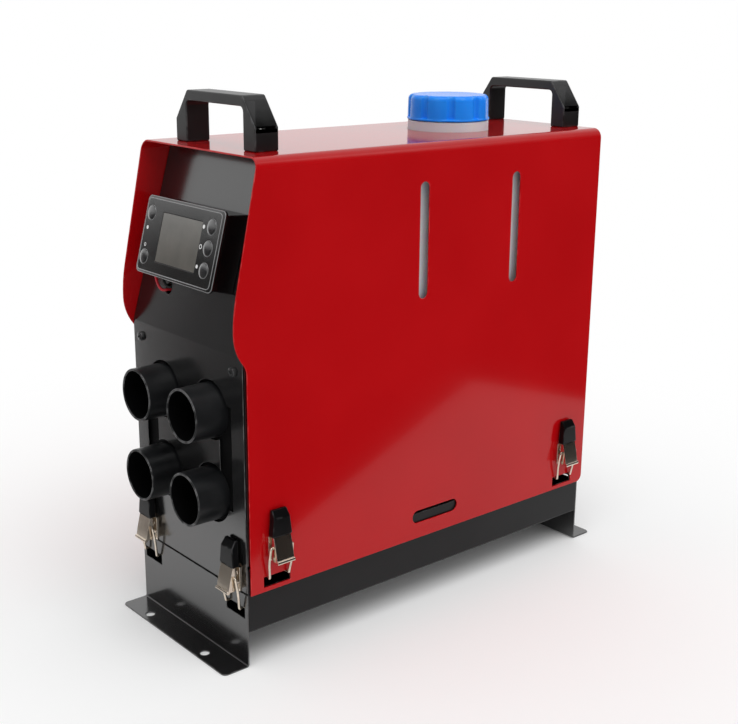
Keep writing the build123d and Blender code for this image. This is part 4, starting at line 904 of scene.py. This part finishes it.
def mark(name, across, upward, size, hollow):
    """A small printed dot or ring on the bezel."""
    place = face_frame @ Matrix.Translation((across, upward, mark_lift))
    inner = ring_share * size if hollow else 0
    profile = [(inner, 0), (inner, mark_thick), (size, mark_thick), (size, 0)]
    made = lathe(profile, place, segments=24, closed=hollow)
    add_piece(name, made, "controller_bezel", "mark_ink", replaces=False)


left_marks = half_across - 7 * mm
mark("mark_left_upper", across=-left_marks, upward=4.7 * mm, size=1.35 * mm, hollow=False)
mark("mark_left_lower", across=-left_marks + 1 * mm, upward=-7.8 * mm, size=1.35 * mm, hollow=True)
mark("mark_right_upper", across=28.4 * mm, upward=15 * mm, size=1.45 * mm, hollow=False)
mark("mark_right_middle", across=28.9 * mm, upward=1 * mm, size=1.7 * mm, hollow=True)
mark("mark_right_lower", across=28.9 * mm, upward=-13 * mm, size=1.35 * mm, hollow=False)

# The wires' routes: across, back from the cover's upright front edge, and up, in mm.
wire_radius = 1.1 * mm
cover_length = 363.0 * mm
front_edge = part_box("shell_cover")[1].y - cover_length
red_route = (
    (-45.0, 1.6, 280.4), (-45.0, 1.2, 274.6), (-38.4, 1.0, 264.4), (-35.4, 6.0, 264.0),
    (-35.4, 16.0, 265.0),
)
black_route = (
    (-40.0, 4.6, 279.5), (-40.0, 4.4, 273.0), (-34.0, 4.4, 266.8), (-32.6, 9.0, 266.4),
    (-32.6, 16.0, 266.4),
)
for name, route, look in (("wire_red", red_route, None), ("wire_black", black_route, "black_wire")):
    points = [Vector((x * mm, front_edge + behind * mm, z * mm)) for x, behind, z in route]
    wire(name, points, wire_radius, "controller_wires", look)


# ---------------------------------------------------------------------------------------------------
# Latches: lever, grip and wire bail, and the rivets of their bases
# ---------------------------------------------------------------------------------------------------

lever_rounding, grip_rounding = 0.22, 0.7
bail_wire = 1.0 * mm
bail_bend = 2.0 * mm
bail_bow = 0.6 * mm
hook_out = -4.0 * mm  # the bail's lower corner, measured out from the lever's pivot
for joint in frame["joints"]:
    if not joint["name"].startswith("lever_"):
        continue
    latch = joint["child"].removeprefix("lever_")
    across = Vector(joint["axis"]).normalized()
    place = local_frame(Vector(joint["pos_m"]), across, across.cross(up), up)
    node = f"latch_lever_{latch}"
    add_piece(f"{node}_look", softened(node, lever_rounding), node)
    node = f"latch_grip_{latch}"
    add_piece(f"{node}_look", softened(node, grip_rounding, segments=3), node, "grip_plastic")

    # Half of the bail, from its end in the lever down its side to its hook. The other half mirrors it.
    node = f"latch_bail_{latch}"
    points = local_points(node, place)
    low, high = corners_of(points)
    side = high.x - bail_wire
    hook = max(point.x for point in points if point.z < low.z + 2 * bail_wire) - bail_wire
    stub = side - 3 * bail_bend / 2
    top = Vector((0, high.y - bail_wire, high.z - bail_wire))
    corner = Vector((0, hook_out, low.z + bail_wire))
    tip = Vector((0, low.y + bail_wire, low.z + bail_wire))
    bend = (corner - top).normalized() * bail_bend
    half = [(stub, top), (side, top), (side, top + bend), (side + bail_bow, top.lerp(corner, 0.5))]
    half += [(hook, corner - bend), (hook, corner), (hook, tip), (hook - bail_bend, tip)]
    run = [Vector((away, point.y, point.z)) for away, point in half]
    run += [Vector((-point.x, point.y, point.z)) for point in reversed(run)]
    wire(f"{node}_look", [place @ point for point in run], bail_wire, node)

# The rivets. Those within this depth and half width at the front belong to the front latches.
# The outer head is round with a hollow: shares of its radius and, below its top, of its depth.
front_depth, front_half_width = 40 * mm, 70 * mm
head_depth = 1 * mm
head_edge = 0.2
shank_share = 0.68
set_head = ((0.97, 0.7), (0.8, 0.35), (0.45, 0.1), (0.4, 0.15), (0.34, 0.8), (0, 0.9))
for number, (low, high) in enumerate(islands("latch_rivets")):
    middle, size = (low + high) / 2, high - low
    on_front = middle.y < cad_low.y + front_depth and abs(middle.x) < front_half_width
    out = forward if on_front else right * math.copysign(1, middle.x)
    length = size.y if on_front else size.x
    head = size.z / 2
    place = local_frame(middle - out * length / 2, up.cross(out), up, out)
    profile = [(0, 0), (head, head_edge * head_depth), (head, (1 - head_edge) * head_depth)]
    profile += [(shank_share * head, head_depth), (shank_share * head, length - head_depth)]
    profile += [(head, length - head_depth)]
    profile += [(share * head, length - below * head_depth) for share, below in set_head]
    add_piece(f"rivet_{number}", lathe(profile, place, segments=32, closed=False), "latch_rivets")


# ---------------------------------------------------------------------------------------------------
# Fuel hoses
# ---------------------------------------------------------------------------------------------------

hose_radius = 3.5 * mm
hose_bend = 14 * mm
pump_low, pump_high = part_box("fuel_pump")
pump_y = (pump_low.y + pump_high.y) / 2
for number, (low, high) in enumerate(islands("fuel_hose")):
    middle = (low + high) / 2
    level = low.z + hose_radius
    upright, flat = (high.y - hose_radius, low.y) if middle.y > pump_y else (low.y + hose_radius, high.y)
    bend = math.copysign(min(hose_bend, abs(flat - upright) / 2), flat - upright)
    run = [(upright, high.z), (upright, (high.z + level + hose_bend) / 2), (upright, level + hose_bend)]
    run += [(upright, level), (upright + bend, level), (flat, level)]
    wire(f"fuel_hose_{number}", [Vector((middle.x, y, z)) for y, z in run], hose_radius, "fuel_hose")
